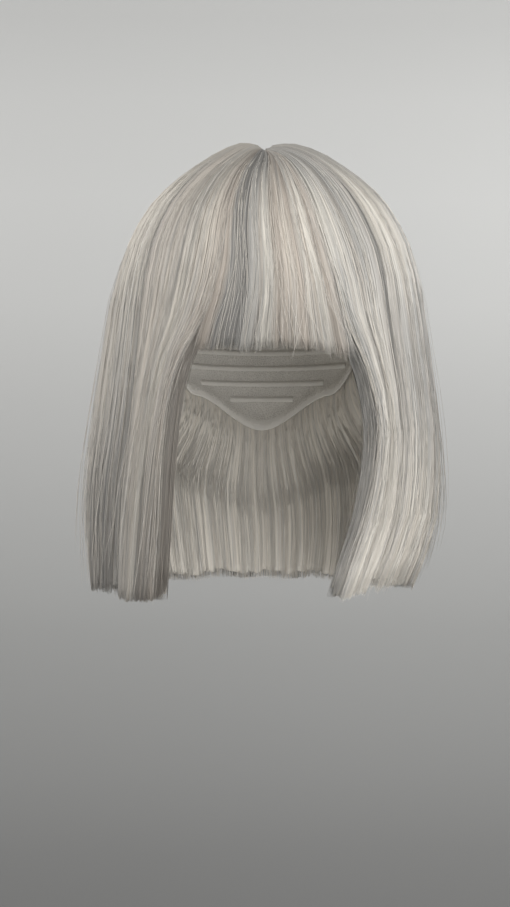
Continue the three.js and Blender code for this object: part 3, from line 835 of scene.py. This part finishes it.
# strands over the outside of a piece, from the parting to the hem
def outerBundles(piece, rng):
    wisps = wispsOf(piece, rng)
    weight = wisps["half"] / wisps["half"].sum()
    total = int(piece["strandsPerMm"] * piece["span"] / mm)
    pick = rng.choice(len(weight), total, p=weight)
    limit = wispLook["spreadLimit"]
    across = np.clip(rng.normal(0, wispLook["strandSpread"], total), -limit, limit)
    late = rng.uniform(0, 1, total) < combing["lateShare"]
    wisp = {label: values[pick][:, None] for label, values in wisps.items()}
    u0 = wisps["middle"][pick] + across * wisps["half"][pick]
    either, single, sides = wispLook["strandShorter"]
    shorter = wisps["shorter"][pick] + rng.normal(0, either, total) * piece["ragged"]
    shorter = shorter + rng.exponential(single, total) * piece["ragged"]
    shorter = shorter + sides * piece["ragged"] * np.abs(across) ** 1.5
    end = endStation(piece, np.clip(u0, 0, 1)) - shorter / perStation
    # all strands have points at the same stations, so none cuts through another where the hair bends
    bend = min(combing["bend"], end.mean() - 2)
    bent = np.linspace(combing["rootStart"], bend, combing["bentRows"])
    hanging = bend + (end - bend)[:, None] * np.linspace(0, 1, combing["hangingRows"] + 1)[1:]
    t = np.concatenate([np.broadcast_to(bent, (total, len(bent))), hanging], axis=1)
    first = np.where(late, rng.integers(1, len(bent) - 1, total), 0)
    start = t[np.arange(total), first]
    s = np.clip((t - start[:, None]) / (end - start)[:, None], 0, 1)
    onTheWay, atTheEnd = wispLook["gather"]
    gathered = 1 - onTheWay * smooth(s, 0.4, 0.8) - atTheEnd * smooth(s, 0.92, 1)
    wave = np.sin(s * 5 + wisp["phase"]) * combing["wave"] / piece["span"]
    own = swaying(s, 7, rng, total) * combing["wave"] / piece["span"]
    u = wisp["middle"] + across[:, None] * wisp["half"] * gathered
    u = u + wisp["drift"] * s**2 + (wave + own) * smooth(s, 0.05, 0.4)
    u = np.clip(u + swept(piece, u, t), -combing["overhang"], 1 + combing["overhang"])
    sunk = rng.uniform(0, combing["layer"], total)[:, None]
    depth = sunk - wisp["lift"] * smooth(s, 0, 0.3)
    depth = depth + np.where(late[:, None], combing["lateDepth"] * (1 - smooth(s, 0, 0.35)), 0)
    points = combedPoint(piece, u, t, depth)
    # the roots rise out of the parting
    root = points[:, 0]
    strip = capSizes["wall"] + capSizes["seatGap"] + capSizes["partingWall"]
    points[:, 0, 2] = domeHeight(root[:, 0], root[:, 1], strip)
    strandTone = wisps["tone"][pick] + rng.normal(0, wispLook["strandTone"], total)
    looks = bundleOf(
        piece, u, t, points, np.ones((*t.shape, 1)),
        tone=toneAndShadeAt(piece, u, t) + strandTone[:, None],
        warmth=warmthAt(piece, u) + wisp["warmth"],
        shade=np.clip(rootShade(piece, u, t) + endShade(piece, u, t), 0, wispLook["darkest"]),
    )
    bundles = []
    for row in np.unique(first):
        chosen = first == row
        bundles.append({label: values[chosen, row:] for label, values in looks.items()})
    return bundles


rootLook = {
    "fan": 0.5,  # how dark the hair is where it fans out below the front of the parting
    "fanTurn": -9,
    "fanWidth": 17,
    "parting": 0.25,
    "crown": 0.26,
}


# the hair darkens where it fans out, at the parting and over the crown
def rootShade(piece, u, t):
    turn = turnAt(piece, u, t)
    fan = np.exp(-(((turn - rootLook["fanTurn"]) / rootLook["fanWidth"]) ** 2))
    fan = fan * smooth(t, 0.5, 1.8) * smooth(-t, -7, -3)
    lines = 0.65 + 0.35 * np.sin(turn * 1.9) * np.sin(turn * 0.83 + 1)
    parting = smooth(-t, -0.9, -0.2)
    crown = smooth(-t, -6.5, -2.5)
    return rootLook["fan"] * fan * lines + rootLook["parting"] * parting + rootLook["crown"] * crown


# and towards a hem that turns inwards
def endShade(piece, u, t):
    end = endStation(piece, np.clip(u, 0, 1))
    return piece["endShade"] * smooth(t - end, -2.2, -0.1)


inside = {
    "tone": 0.78,  # an even tone for the hair's inside, paler than the outside as painted light that lifts the shade inside the wig
    "warmth": 0.45,
    "aside": 37,
    "wave": 0.8 * mm,
}
filling = {
    "depth": (0.03, 0.97),  # in shares of the wall
    "shorter": 0.8,  # in shares of the piece's raggedness
    "reach": (1.3, 5.0),  # stations
    "cover": 2.5 * mm,  # how far the strands start inside the wall
    "drift": 1.2 * mm,
}


# strands in the thickness of the hem and of the edges beside the face
def fillerBundles(piece, rng):
    total = piece["fillers"]
    u0 = rng.uniform(0, 1, total)
    depth = rng.uniform(*filling["depth"], total)
    shorter = rng.exponential(filling["shorter"], total) * piece["ragged"]
    end = endStation(piece, u0) - (shorter + piece["hemStep"] * smooth(depth, 0, 0.4)) / perStation
    start = end - rng.uniform(*filling["reach"], total)
    s, t = steps(start, end, 6)
    drift = rng.normal(0, filling["drift"], total)[:, None] / piece["span"]
    u = np.clip(u0[:, None] + drift * s, 0, 1)
    covered = np.clip(depth * piece["wall"], filling["cover"], piece["wall"] - filling["cover"])
    depths = lerp(covered[:, None], depth[:, None] * piece["wall"], smooth(s, 0.45, 0.95))
    outside = smooth(-depth, -0.6, -0.3)[:, None]
    bundles = [bundleOf(
        piece, u, t, combedPoint(piece, u, t, depths),
        facing=lerp(1, -0.9, smooth(depth, 0.5, 0.9))[:, None, None],
        tone=lerp(inside["tone"], toneAndShadeAt(piece, u, t), outside) + rng.normal(0, 0.05, total)[:, None],
        warmth=inside["warmth"] + rng.normal(0, 0.1, total),
        shade=endShade(piece, u, t),
    )]
    for side, used in enumerate(piece["edges"]):
        if used:
            bundles.append(edgeBundle(piece, side, rng))
    return bundles


edging = {
    "strands": 420,
    "start": (7, 10.5),  # stations
    "inward": 1.3 * mm,
    "outward": 0.5 * mm,
    "shorter": 3.2 * mm,
    "innerShorter": 9 * mm,
    "wave": 0.8 * mm,
    "tone": (0.05, 0.13),
    "facing": 0.4,
}


# strands in the thickness of an edge beside the face: side is 0 for the first edge and 1 for the last
def edgeBundle(piece, side, rng):
    total = edging["strands"]
    start = rng.uniform(*edging["start"], total)
    depth = rng.uniform(0.0, 1.0, total) * piece["wall"]
    inward = np.abs(rng.normal(0, edging["inward"], total)) - rng.exponential(edging["outward"], total)
    u0 = side + (1 - 2 * side) * (inward / piece["span"])
    shorter = rng.exponential(edging["shorter"], total)
    shorter = shorter + edging["innerShorter"] * (depth / piece["wall"]) ** 1.3
    end = endStation(piece, u0) - shorter / perStation
    s, t = steps(start, end, 10)
    u = u0[:, None] + swaying(s, 7, rng, total) * edging["wave"] / piece["span"] * s
    return bundleOf(
        piece, u, t, combedPoint(piece, u, t, depth[:, None] + 0 * s), edging["facing"],
        tone=toneAndShadeAt(piece, u, t) + rng.normal(*edging["tone"], total)[:, None],
        warmth=warmthAt(piece, u),
        shade=0.05 + 0.1 * depth / piece["wall"],
    )


# loose hairs that stand off the outside, and some that hang into the opening for the face
def flyawayBundles(piece, rng):
    total = piece["flyaways"]
    u0 = rng.uniform(0, 1, total)
    start = rng.uniform(*flying["start"], total)
    past = rng.uniform(*flying["past"], total)
    # those of the fringe begin higher up and end near its own ends
    if piece is hairPieces["fringe"]:
        start = rng.uniform(*flying["fringeStart"], total)
        past = rng.uniform(*flying["fringePast"], total)
    end = endStation(piece, u0) + past / perStation
    s, t = steps(start, end, 12)
    t = np.minimum(t, lastStation + 0.1)
    reach = lerp(*flying["reach"], rng.uniform(0, 1, total) ** 2)[:, None]
    sway = rng.normal(0, flying["wander"], total)[:, None] * s**1.5
    sway = sway + swaying(s, 5, rng, total) * flying["wave"] * s
    u = u0[:, None] + sway / piece["span"]
    for side, used in enumerate(piece["edges"]):
        if used:
            near = (np.arange(total) % 3 == 0)[:, None]
            u = np.where(near, side + (2 * side - 1) * np.abs(sway) * 0.8 / piece["span"], u)
    return [bundleOf(
        piece, u, t, combedPoint(piece, u, t, -reach * s**1.7), flying["facing"],
        tone=rng.uniform(*flying["tone"], total),
        warmth=rng.uniform(*flying["warmth"], total),
        shade=0 * u0,
    )]


# strands over the inside of a piece, below the cap
def innerBundles(piece, rng):
    total = piece["innerStrands"]
    u0 = rng.uniform(0.01, 0.99, total)
    end = endStation(piece, u0) - np.abs(rng.normal(0, piece["ragged"], total)) / perStation
    span = np.linspace(2, lastStation, 80)
    edges = []
    for u in u0:
        turn = turnAt(piece, u, span)
        under = hairPoint(turn, span)[:, 2] + capEdgeDrop(turn)
        edges.append(np.interp(0, -under, span))
    start = np.array(edges) + rng.uniform(-0.4, 0.5, total)
    s, t = steps(start, end, 9)
    u = u0[:, None] + swaying(s, 6, rng, total) * inside["wave"] / piece["span"]
    points, out = innerPoint(piece, u, t)
    lift = rng.uniform(0.1, 1.1, total)[:, None] * mm
    return [bundleOf(
        piece, u, t, points + out * lift[..., None], -1,
        tone=rng.normal(inside["tone"], 0.06, total),
        warmth=rng.normal(inside["warmth"], 0.12, total),
        shade=0 * u0,
        aside=inside["aside"],
    )]


# The solid body of the hair, a little inside its strands

bodyForm = {
    "perLock": 8,
    "rows": 64,
    "start": 0.3,  # station
    "inset": 1.2 * mm,
    "jagged": 3 * mm,
    "innerSink": 0.6 * mm,
    "shade": 0.05,
}


def quadMesh(name, points, quads):
    mesh = bpy.data.meshes.new(name)
    faces = np.concatenate([np.stack(quad, -1).reshape(-1, 4) for quad in quads])
    mesh.from_pydata(points.tolist(), [], faces.tolist())
    return mesh


def bodyMesh(name, piece):
    bounds = piece["bounds"]
    locks = [np.linspace(a, b, bodyForm["perLock"], endpoint=False) for a, b in zip(bounds, bounds[1:])]
    inset = bodyForm["inset"] / piece["span"]
    u = np.clip(np.concatenate([*locks, [1.0]]), inset, 1 - inset)
    rows = bodyForm["rows"]
    jagged = np.random.default_rng(piece["seed"] + 50).uniform(0, 1, len(u)) * bodyForm["jagged"]
    end = endStation(piece, u) - (piece["baseEnd"] + jagged) / perStation
    t = bodyForm["start"] + (end - bodyForm["start"])[None, :] * np.linspace(0, 1, rows)[:, None]
    u = np.broadcast_to(u, t.shape)
    sink = lerp(combing["crownSink"], combing["bodySink"], smooth(t, 3.5, 7))
    outer = combedPoint(piece, u, t, sink)
    inner, out = innerPoint(piece, u, t)
    inner = inner + out * (bodyForm["innerSink"] * smooth(t, 5, 8))[..., None]
    outside, under = np.arange(2 * t.size).reshape(2, *t.shape)
    mesh = quadMesh(name, np.concatenate([outer.reshape(-1, 3), inner.reshape(-1, 3)]), [
        (outside[:-1, :-1], outside[1:, :-1], outside[1:, 1:], outside[:-1, 1:]),
        (under[:-1, :-1], under[:-1, 1:], under[1:, 1:], under[1:, :-1]),
        (outside[:-1, 0], under[:-1, 0], under[1:, 0], outside[1:, 0]),
        (outside[:-1, -1], outside[1:, -1], under[1:, -1], under[:-1, -1]),
        (outside[0, :-1], outside[0, 1:], under[0, 1:], under[0, :-1]),
        (outside[-1, :-1], under[-1, :-1], under[-1, 1:], outside[-1, 1:]),
    ])
    mesh.update()
    place = placeOf(piece, u, t)
    shade = rootShade(piece, u, t) + endShade(piece, u, t) + bodyForm["shade"]
    looks = {
        "tone": (toneAndShadeAt(piece, u, t), 0 * t + inside["tone"]),
        "warmth": (warmthAt(piece, u), 0 * t + inside["warmth"]),
        "shade": (np.clip(shade, 0, wispLook["darkest"]), 0 * t),
        "across": (place[..., 0], place[..., 0] + inside["aside"]),
        "lengthways": (place[..., 1], place[..., 1]),
    }
    for label in hairAttributes:
        pointAttribute(mesh, label, np.concatenate([side.ravel() for side in looks[label]]))
    mesh.shade_smooth()
    mesh.materials.append(bodyFinish)
    return mesh


def joined(name, meshes):
    parts = []
    for mesh in meshes:
        part = bpy.data.objects.new(name, mesh)
        scene.collection.objects.link(part)
        parts.append(part)
    chosen = {"selected_editable_objects": parts, "selected_objects": parts}
    with bpy.context.temp_override(active_object=parts[0], object=parts[0], **chosen):
        bpy.ops.object.join()
    parts[0].name = name
    parts[0].data.name = name
    return parts[0]


def trianglesOf(thing):
    return sum(len(face.vertices) - 2 for face in thing.data.polygons)


triangleCount = 0
for node, hairPiece in hairPieces.items():
    rng = np.random.default_rng(hairPiece["seed"])
    bundles = outerBundles(hairPiece, rng) + fillerBundles(hairPiece, rng) + innerBundles(hairPiece, rng)
    width, tip, seed = combing["strandWidth"], hairPiece["tip"], hairPiece["seed"]
    strands = strandsMesh(node + "Strands", bundles, width, tip, seed)
    stray = flyawayBundles(hairPiece, rng)
    loose = strandsMesh(node + "Loose", stray, flying["width"], flying["tip"], seed)
    hair = joined(node + "_hair", [bodyMesh(node + "Body", hairPiece), strands, loose])
    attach(hair, "root")
    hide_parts(node)
    triangleCount += trianglesOf(hair)
    print(f"stage: {node} combed, {trianglesOf(hair)} triangles, span {hairPiece['span'] / mm:.0f} mm")
print(f"stage: all hair combed, {triangleCount} triangles")


# The cap and the parting

capLook = {
    "columns": 96,
    "rows": 30,
    "inset": 0.1 * mm,  # how far the net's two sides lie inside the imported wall
    "bandWidth": 8 * mm,  # elastic band round the edge
    "bandRise": 0.5 * mm,
    "weftLevels": (-78, -90, -102, -114, -126, -138, -150, -162, -174),  # millimetres below the crown
    "weftWidth": 4 * mm,
    "weftThick": 0.4 * mm,
    "weftStep": 4.0,  # degrees
    "stitchLength": 2.6 * mm,
    "stitchWidth": 0.4 * mm,
    "stitchGap": 3.4 * mm,
    "stitchTurn": 0.6,  # radians to either side, for the zigzag
    "stitchSeed": 3,
    "netColour": (0.78, 0.755, 0.71, 1),
    "netGap": (0.62, 0.595, 0.555, 1),
    "netCell": 1.5 * mm,
    "netBump": 0.3 * mm,
    "bandColour": (0.77, 0.745, 0.70, 1),
    "bandCell": 0.7 * mm,
    "bandBump": 0.15 * mm,
    "threadColour": (0.84, 0.81, 0.76, 1),
    "threadCell": 0.4 * mm,
    "threadBump": 0.05 * mm,
    "skinColour": (0.74, 0.60, 0.51, 1),
    "skinDark": (0.60, 0.46, 0.38, 1),
}


# woven cloth: threads with gaps between them, a little cloudy
def clothMaterial(kind, dark):
    material, tree, shader = newMaterial("cap" + kind.capitalize() + "Finish")
    place = tree.nodes.new("ShaderNodeTexCoord").outputs["Object"]
    weave = {"Vector": place, "Scale": 1 / capLook[kind + "Cell"]}
    cells = addNode(tree, "ShaderNodeTexVoronoi", weave, feature="DISTANCE_TO_EDGE")
    lines = rangeNode(tree, cells.outputs["Distance"], 0.05, 0.22, 1.0, 0.0)
    cloudy = addNode(tree, "ShaderNodeTexNoise", {"Vector": place, "Scale": 90.0, "Detail": 3.0})
    share = mathNode(tree, "MULTIPLY_ADD", lines, 0.8, cloudy.outputs["Fac"])
    colour = mixNode(tree, rangeNode(tree, share, 0.2, 1.3), dark, capLook[kind + "Colour"])
    setInputs(tree, shader, {
        "Base Color": colour,
        "Normal": bumpNode(tree, lines, 0.6, capLook[kind + "Bump"]),
        "Roughness": 0.85,
        "Specular IOR Level": 0.25,
    })
    return material


netFinish = clothMaterial("net", capLook["netGap"])
bandFinish = clothMaterial("band", capLook["netColour"])
threadFinish = clothMaterial("thread", capLook["bandColour"])


# lines as curves that stand upright
def uprightCurves(tree, lines):
    curves = addNode(tree, "GeometryNodeMeshToCurve", {"Mesh": lines}).outputs[0]
    return addNode(tree, "GeometryNodeSetCurveNormal", {"Curve": curves}, mode="Z_UP").outputs[0]


# a band that follows lines, standing upright
def bandTree():
    tree, given, end = newGroup("bandTree", "GeometryNodeTree", [
        ("Lines", "Geometry", None), ("Width", "Float", 4 * mm),
        ("Thickness", "Float", 0.6 * mm), ("Material", "Material", None),
    ], [("Bands", "Geometry")])
    flat = {"Width": given["Thickness"], "Height": given["Width"]}
    profile = addNode(tree, "GeometryNodeCurvePrimitiveQuadrilateral", flat).outputs[0]
    sweep = {"Curve": uprightCurves(tree, given["Lines"]), "Profile Curve": profile, "Fill Caps": True}
    bands = addNode(tree, "GeometryNodeCurveToMesh", sweep).outputs[0]
    return finishTree(tree, bands, given["Material"], end)


# stitches along lines, in a zigzag
def stitchTree():
    tree, given, end = newGroup("stitchTree", "GeometryNodeTree", [
        ("Lines", "Geometry", None), ("Length", "Float", 2.5 * mm),
        ("Width", "Float", 0.4 * mm), ("Gap", "Float", 3 * mm),
        ("Turn", "Float", 0.6), ("Seed", "Int", 3), ("Material", "Material", None),
    ], [("Stitches", "Geometry")])
    upright = uprightCurves(tree, given["Lines"])
    spacing = {"Curve": upright, "Length": given["Gap"]}
    places = addNode(tree, "GeometryNodeCurveToPoints", spacing, mode="LENGTH")
    half = mathNode(tree, "DIVIDE", given["Width"], 2.0)
    thread = {"Vertices": 5, "Radius": half, "Depth": given["Length"]}
    stitch = addNode(tree, "GeometryNodeMeshCylinder", thread).outputs["Mesh"]
    index = tree.nodes.new("GeometryNodeInputIndex").outputs[0]
    # every other stitch turns the other way, each by a little more or less
    side = mathNode(tree, "MULTIPLY_ADD", mathNode(tree, "MODULO", index, 2.0), 2.0, -1.0)
    limits = {2: 0.85, 3: 1.15, "Seed": given["Seed"]}
    chance = addNode(tree, "FunctionNodeRandomValue", limits, data_type="FLOAT")
    angle = mathNode(tree, "MULTIPLY", side, given["Turn"])
    varied = mathNode(tree, "MULTIPLY", angle, chance.outputs[1])
    about = addNode(tree, "ShaderNodeCombineXYZ", {"X": varied}).outputs[0]
    turning = {"Rotation": places.outputs["Rotation"], "Rotate By": about}
    turned = addNode(tree, "FunctionNodeRotateRotation", turning, rotation_space="LOCAL")
    sewn = addNode(tree, "GeometryNodeInstanceOnPoints", {
        "Points": places.outputs["Points"], "Instance": stitch, "Rotation": turned.outputs[0],
    })
    return finishTree(tree, sewn.outputs[0], given["Material"], end)


# lines as an object for a tree to work on
def linesObject(name, lines):
    mesh = bpy.data.meshes.new(name)
    pairs = []
    first = 0
    for line in lines:
        pairs += [(first + k, first + k + 1) for k in range(len(line) - 1)]
        first += len(line)
    mesh.from_pydata(np.concatenate(lines).tolist(), pairs, [])
    return bpy.data.objects.new(name, mesh)


# the net dome with its two sides, thicker in the band round its edge
def domeMesh():
    turns = np.linspace(0, 360, capLook["columns"], endpoint=False)
    band = capLook["bandWidth"]
    deep = capEdgeDrop(turns)
    share = np.linspace(0, 1, capLook["rows"]) ** 1.5
    sides = []
    for offset, sign in ((capSizes["wall"] - capLook["inset"], 0), (capLook["inset"], 1)):
        levels = [offset - (offset + deep - band - 0.4 * mm) * k for k in share]
        levels += [-(deep - band * k) for k in (0.96, 0.5, 0.06, 0.0)]
        swell = np.zeros((len(levels), len(turns)))
        swell[-4:-1] = -sign * capLook["bandRise"]
        rows = np.stack([headPoint(turns, level, offset) for level in levels])
        sides.append(rows + outward(rows) * swell[..., None])
    outside, under = np.arange(2 * swell.size).reshape(2, *swell.shape)
    outsideNext, underNext = np.roll(outside, -1, axis=1), np.roll(under, -1, axis=1)
    mesh = quadMesh("capNet", np.concatenate([side.reshape(-1, 3) for side in sides]), [
        (outside[:-1], outside[1:], outsideNext[1:], outsideNext[:-1]),
        (under[:-1], underNext[:-1], underNext[1:], under[1:]),
        (outside[-1], under[-1], underNext[-1], outsideNext[-1]),
    ])
    work = bmesh.new()
    work.from_mesh(mesh)
    bmesh.ops.remove_doubles(work, verts=work.verts, dist=0.02 * mm)
    bmesh.ops.dissolve_degenerate(work, edges=work.edges, dist=0.005 * mm)
    work.to_mesh(mesh)
    work.free()
    mesh.shade_smooth()
    mesh.materials.append(netFinish)
    mesh.materials.append(bandFinish)
    centres = np.array([face.center for face in mesh.polygons])
    turned = np.degrees(np.arctan2(centres[:, 0], -centres[:, 1])) % 360
    onBand = -centres[:, 2] > capEdgeDrop(turned) - band
    mesh.polygons.foreach_set("material_index", onBand.astype(np.int32))
    return mesh


def makeCap():
    wefts = []
    sewing = []
    turns = np.arange(0.0, 360.0, capLook["weftStep"])
    room = capEdgeDrop(turns) - capLook["bandWidth"] - capLook["weftWidth"] / 2
    for level in capLook["weftLevels"]:
        z = level * mm
        # the turns where the level lies above the band
        above = turns[room > -z]
        breaks = np.where(np.diff(above) > capLook["weftStep"] + 0.5)[0] + 1
        for run in np.split(above, breaks):
            if len(run) > 3:
                wefts.append(headPoint(run, z, -capLook["inset"]))
                sewing.append(headPoint(run, z, -capLook["inset"] - capLook["weftThick"] / 2))
    turns = np.linspace(0, 360, 181)
    middle = -(capEdgeDrop(turns) - capLook["bandWidth"] / 2)
    sewing.append(headPoint(turns, middle, -capLook["bandRise"]))
    bands = grown(linesObject("weftLines", wefts), bandTree(), {
        "Width": capLook["weftWidth"], "Thickness": capLook["weftThick"], "Material": bandFinish,
    })
    stitches = grown(linesObject("sewingLines", sewing), stitchTree(), {
        "Length": capLook["stitchLength"], "Width": capLook["stitchWidth"], "Gap": capLook["stitchGap"],
        "Turn": capLook["stitchTurn"], "Seed": capLook["stitchSeed"], "Material": threadFinish,
    })
    cap = joined("cap_net", [domeMesh(), bands, stitches])
    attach(cap, "root")
    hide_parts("cap")
    print(f"stage: cap sewn, {trianglesOf(cap)} triangles")


# skin with mottling, pores where the hair comes out, and a matt surface
def skinMaterial():
    material, tree, shader = newMaterial("partingSkinFinish")
    place = tree.nodes.new("ShaderNodeTexCoord").outputs["Object"]
    mottled = addNode(tree, "ShaderNodeTexNoise", {"Vector": place, "Scale": 260.0, "Detail": 4.0})
    knots = addNode(tree, "ShaderNodeTexVoronoi", {"Vector": place, "Scale": 700.0, "Randomness": 0.7})
    dots = rangeNode(tree, knots.outputs["Distance"], 0.12, 0.3)
    share = mathNode(tree, "MULTIPLY", mottled.outputs["Fac"], dots)
    ease = rangeNode(tree, share, 0.05, 0.55)
    setInputs(tree, shader, {
        "Base Color": mixNode(tree, ease, capLook["skinDark"], capLook["skinColour"]),
        "Normal": bumpNode(tree, dots, 0.4, 0.15 * mm),
        "Roughness": 0.6,
    })
    return material


makeCap()
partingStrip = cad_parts["parting"]
if not partingStrip.material_slots:
    partingStrip.data.materials.append(None)
partingStrip.material_slots[0].material = skinMaterial()
print("stage: parting finished")


# Camera, backdrop and light

cameraSet = {
    "distance": 882 * mm,
    "height": -203.6 * mm,
    "turn": -3,  # degrees
    "lens": 50,
    "sensor": 36,
    "axisPixel": 267.3,  # image column of the wig's axis
    "imageWidth": 510,
    "imageHeight": 907,
}
paper = {
    "wall": 1.6,
    "floor": -1.15,
    "cove": 0.6,  # radius of the curve between floor and wall
    "half": 4.0,
    "front": -4.0,
    "top": 3.0,
    "steps": 12,
    "low": -1.1,  # heights of the first and the last grey
    "high": 0.65,
    # painted light: greys at shares of the height that darken towards the floor, as the lamps' falloff would
    "paintedFalloffGreys": [
        (0.0, 0.156), (0.09, 0.196), (0.16, 0.245), (0.24, 0.296), (0.35, 0.367), (0.46, 0.418),
        (0.57, 0.475), (0.68, 0.545), (0.8, 0.583), (0.91, 0.570), (1.0, 0.532),
    ],
    "yellow": 0.985,  # the share of blue
    "floorColour": (0.6, 0.6, 0.59, 1),
}


def makeCamera():
    data = bpy.data.cameras.new("portraitCamera")
    data.lens = cameraSet["lens"]
    data.sensor_width = cameraSet["sensor"]
    data.shift_x = (cameraSet["imageWidth"] / 2 - cameraSet["axisPixel"]) / cameraSet["imageHeight"]
    camera = bpy.data.objects.new("portraitCamera", data)
    turn = math.radians(cameraSet["turn"])
    camera.location = (
        math.sin(turn) * cameraSet["distance"],
        -math.cos(turn) * cameraSet["distance"],
        cameraSet["height"],
    )
    camera.rotation_euler = (math.radians(90), 0, turn)
    scene.collection.objects.link(camera)
    scene.camera = camera


# a floor that curves up into a wall, whose grey changes with the height: painted light, lighter high up and
# darker towards the floor as the lamps' light falls off
def makeBackdrop():
    cove = paper["cove"]
    curveStart = paper["wall"] - cove
    curveTop = paper["floor"] + cove
    profile = [(paper["front"], paper["floor"]), (curveStart, paper["floor"])]
    for k in range(1, paper["steps"]):
        angle = math.radians(90 * k / paper["steps"])
        profile.append((curveStart + cove * math.sin(angle), curveTop - cove * math.cos(angle)))
    profile += [(paper["wall"], curveTop), (paper["wall"], paper["top"])]
    points = [(x, y, z) for y, z in profile for x in (-paper["half"], paper["half"])]
    faces = [(2 * k, 2 * k + 1, 2 * k + 3, 2 * k + 2) for k in range(len(profile) - 1)]
    mesh = bpy.data.meshes.new("paperSweep")
    mesh.from_pydata(points, [], faces)
    mesh.shade_smooth()
    sweep = bpy.data.objects.new("paperSweep", mesh)
    scene.collection.objects.link(sweep)
    material, tree, shader = newMaterial("paleWall")
    place = tree.nodes.new("ShaderNodeTexCoord").outputs["Object"]
    parts = addNode(tree, "ShaderNodeSeparateXYZ", {"Vector": place}).outputs
    height = rangeNode(tree, parts["Z"], paper["low"], paper["high"])
    ramp = addNode(tree, "ShaderNodeValToRGB", {"Fac": height})
    for share, grey in paper["paintedFalloffGreys"][1:-1]:
        ramp.color_ramp.elements.new(share)
    for element, (share, grey) in zip(ramp.color_ramp.elements, paper["paintedFalloffGreys"]):
        element.position = share
        element.color = (grey, grey, grey * paper["yellow"], 1)
    # the flat floor in front of the curve is pale
    flat = rangeNode(tree, parts["Y"], 0.8, 1.1)
    shade = mixNode(tree, flat, paper["floorColour"], ramp.outputs["Color"])
    # painted light: the wall brightens a little towards the right, the side the key light comes from
    aside = rangeNode(tree, parts["X"], -0.5, 0.5, 0.95, 1.05)
    setInputs(tree, shader, {"Base Color": vectorNode(tree, "SCALE", shade, aside), "Roughness": 0.9})
    mesh.materials.append(material)


def areaLight(name, place, aim, size, power):
    data = bpy.data.lights.new(name, "AREA")
    data.shape = "RECTANGLE"
    data.size, data.size_y = size
    data.energy = power
    light = bpy.data.objects.new(name, data)
    light.location = place
    light.rotation_euler = (Vector(aim) - Vector(place)).to_track_quat("-Z", "Y").to_euler()
    scene.collection.objects.link(light)


# place, aim, size and power of each lamp
lights = {
    "keyLight": ((0.5, -1.6, 0.7), (0, 0, -0.15), (1.2, 1.0), 11.5),
    "lowLight": ((0.7, -1.5, -0.5), (0, 0, -0.2), (1.2, 0.8), 6.5),
    "sideLight": ((-1.45, -0.7, 0.5), (-0.05, 0, -0.15), (0.8, 0.8), 13),
    "sideRightLight": ((1.5, -0.5, 0.1), (0.05, 0, -0.15), (1.0, 1.0), 8),
    "backLeftLight": ((-1.5, 1.0, 0.4), (0, 0.05, -0.15), (0.9, 0.9), 8),
    "backRightLight": ((1.5, 1.0, 0.4), (0, 0.05, -0.15), (0.9, 0.9), 8),
}
room = {"colour": (0.8, 0.8, 0.79, 1), "strength": 0.72}

makeCamera()
makeBackdrop()
for name, lamp in lights.items():
    areaLight(name, *lamp)
world = bpy.data.worlds.new("softRoom")
world.use_nodes = True
background = world.node_tree.nodes["Background"]
setInputs(world.node_tree, background, {"Color": room["colour"], "Strength": room["strength"]})
scene.world = world
scene.view_settings.view_transform = "Standard"
print("stage: camera and light set")
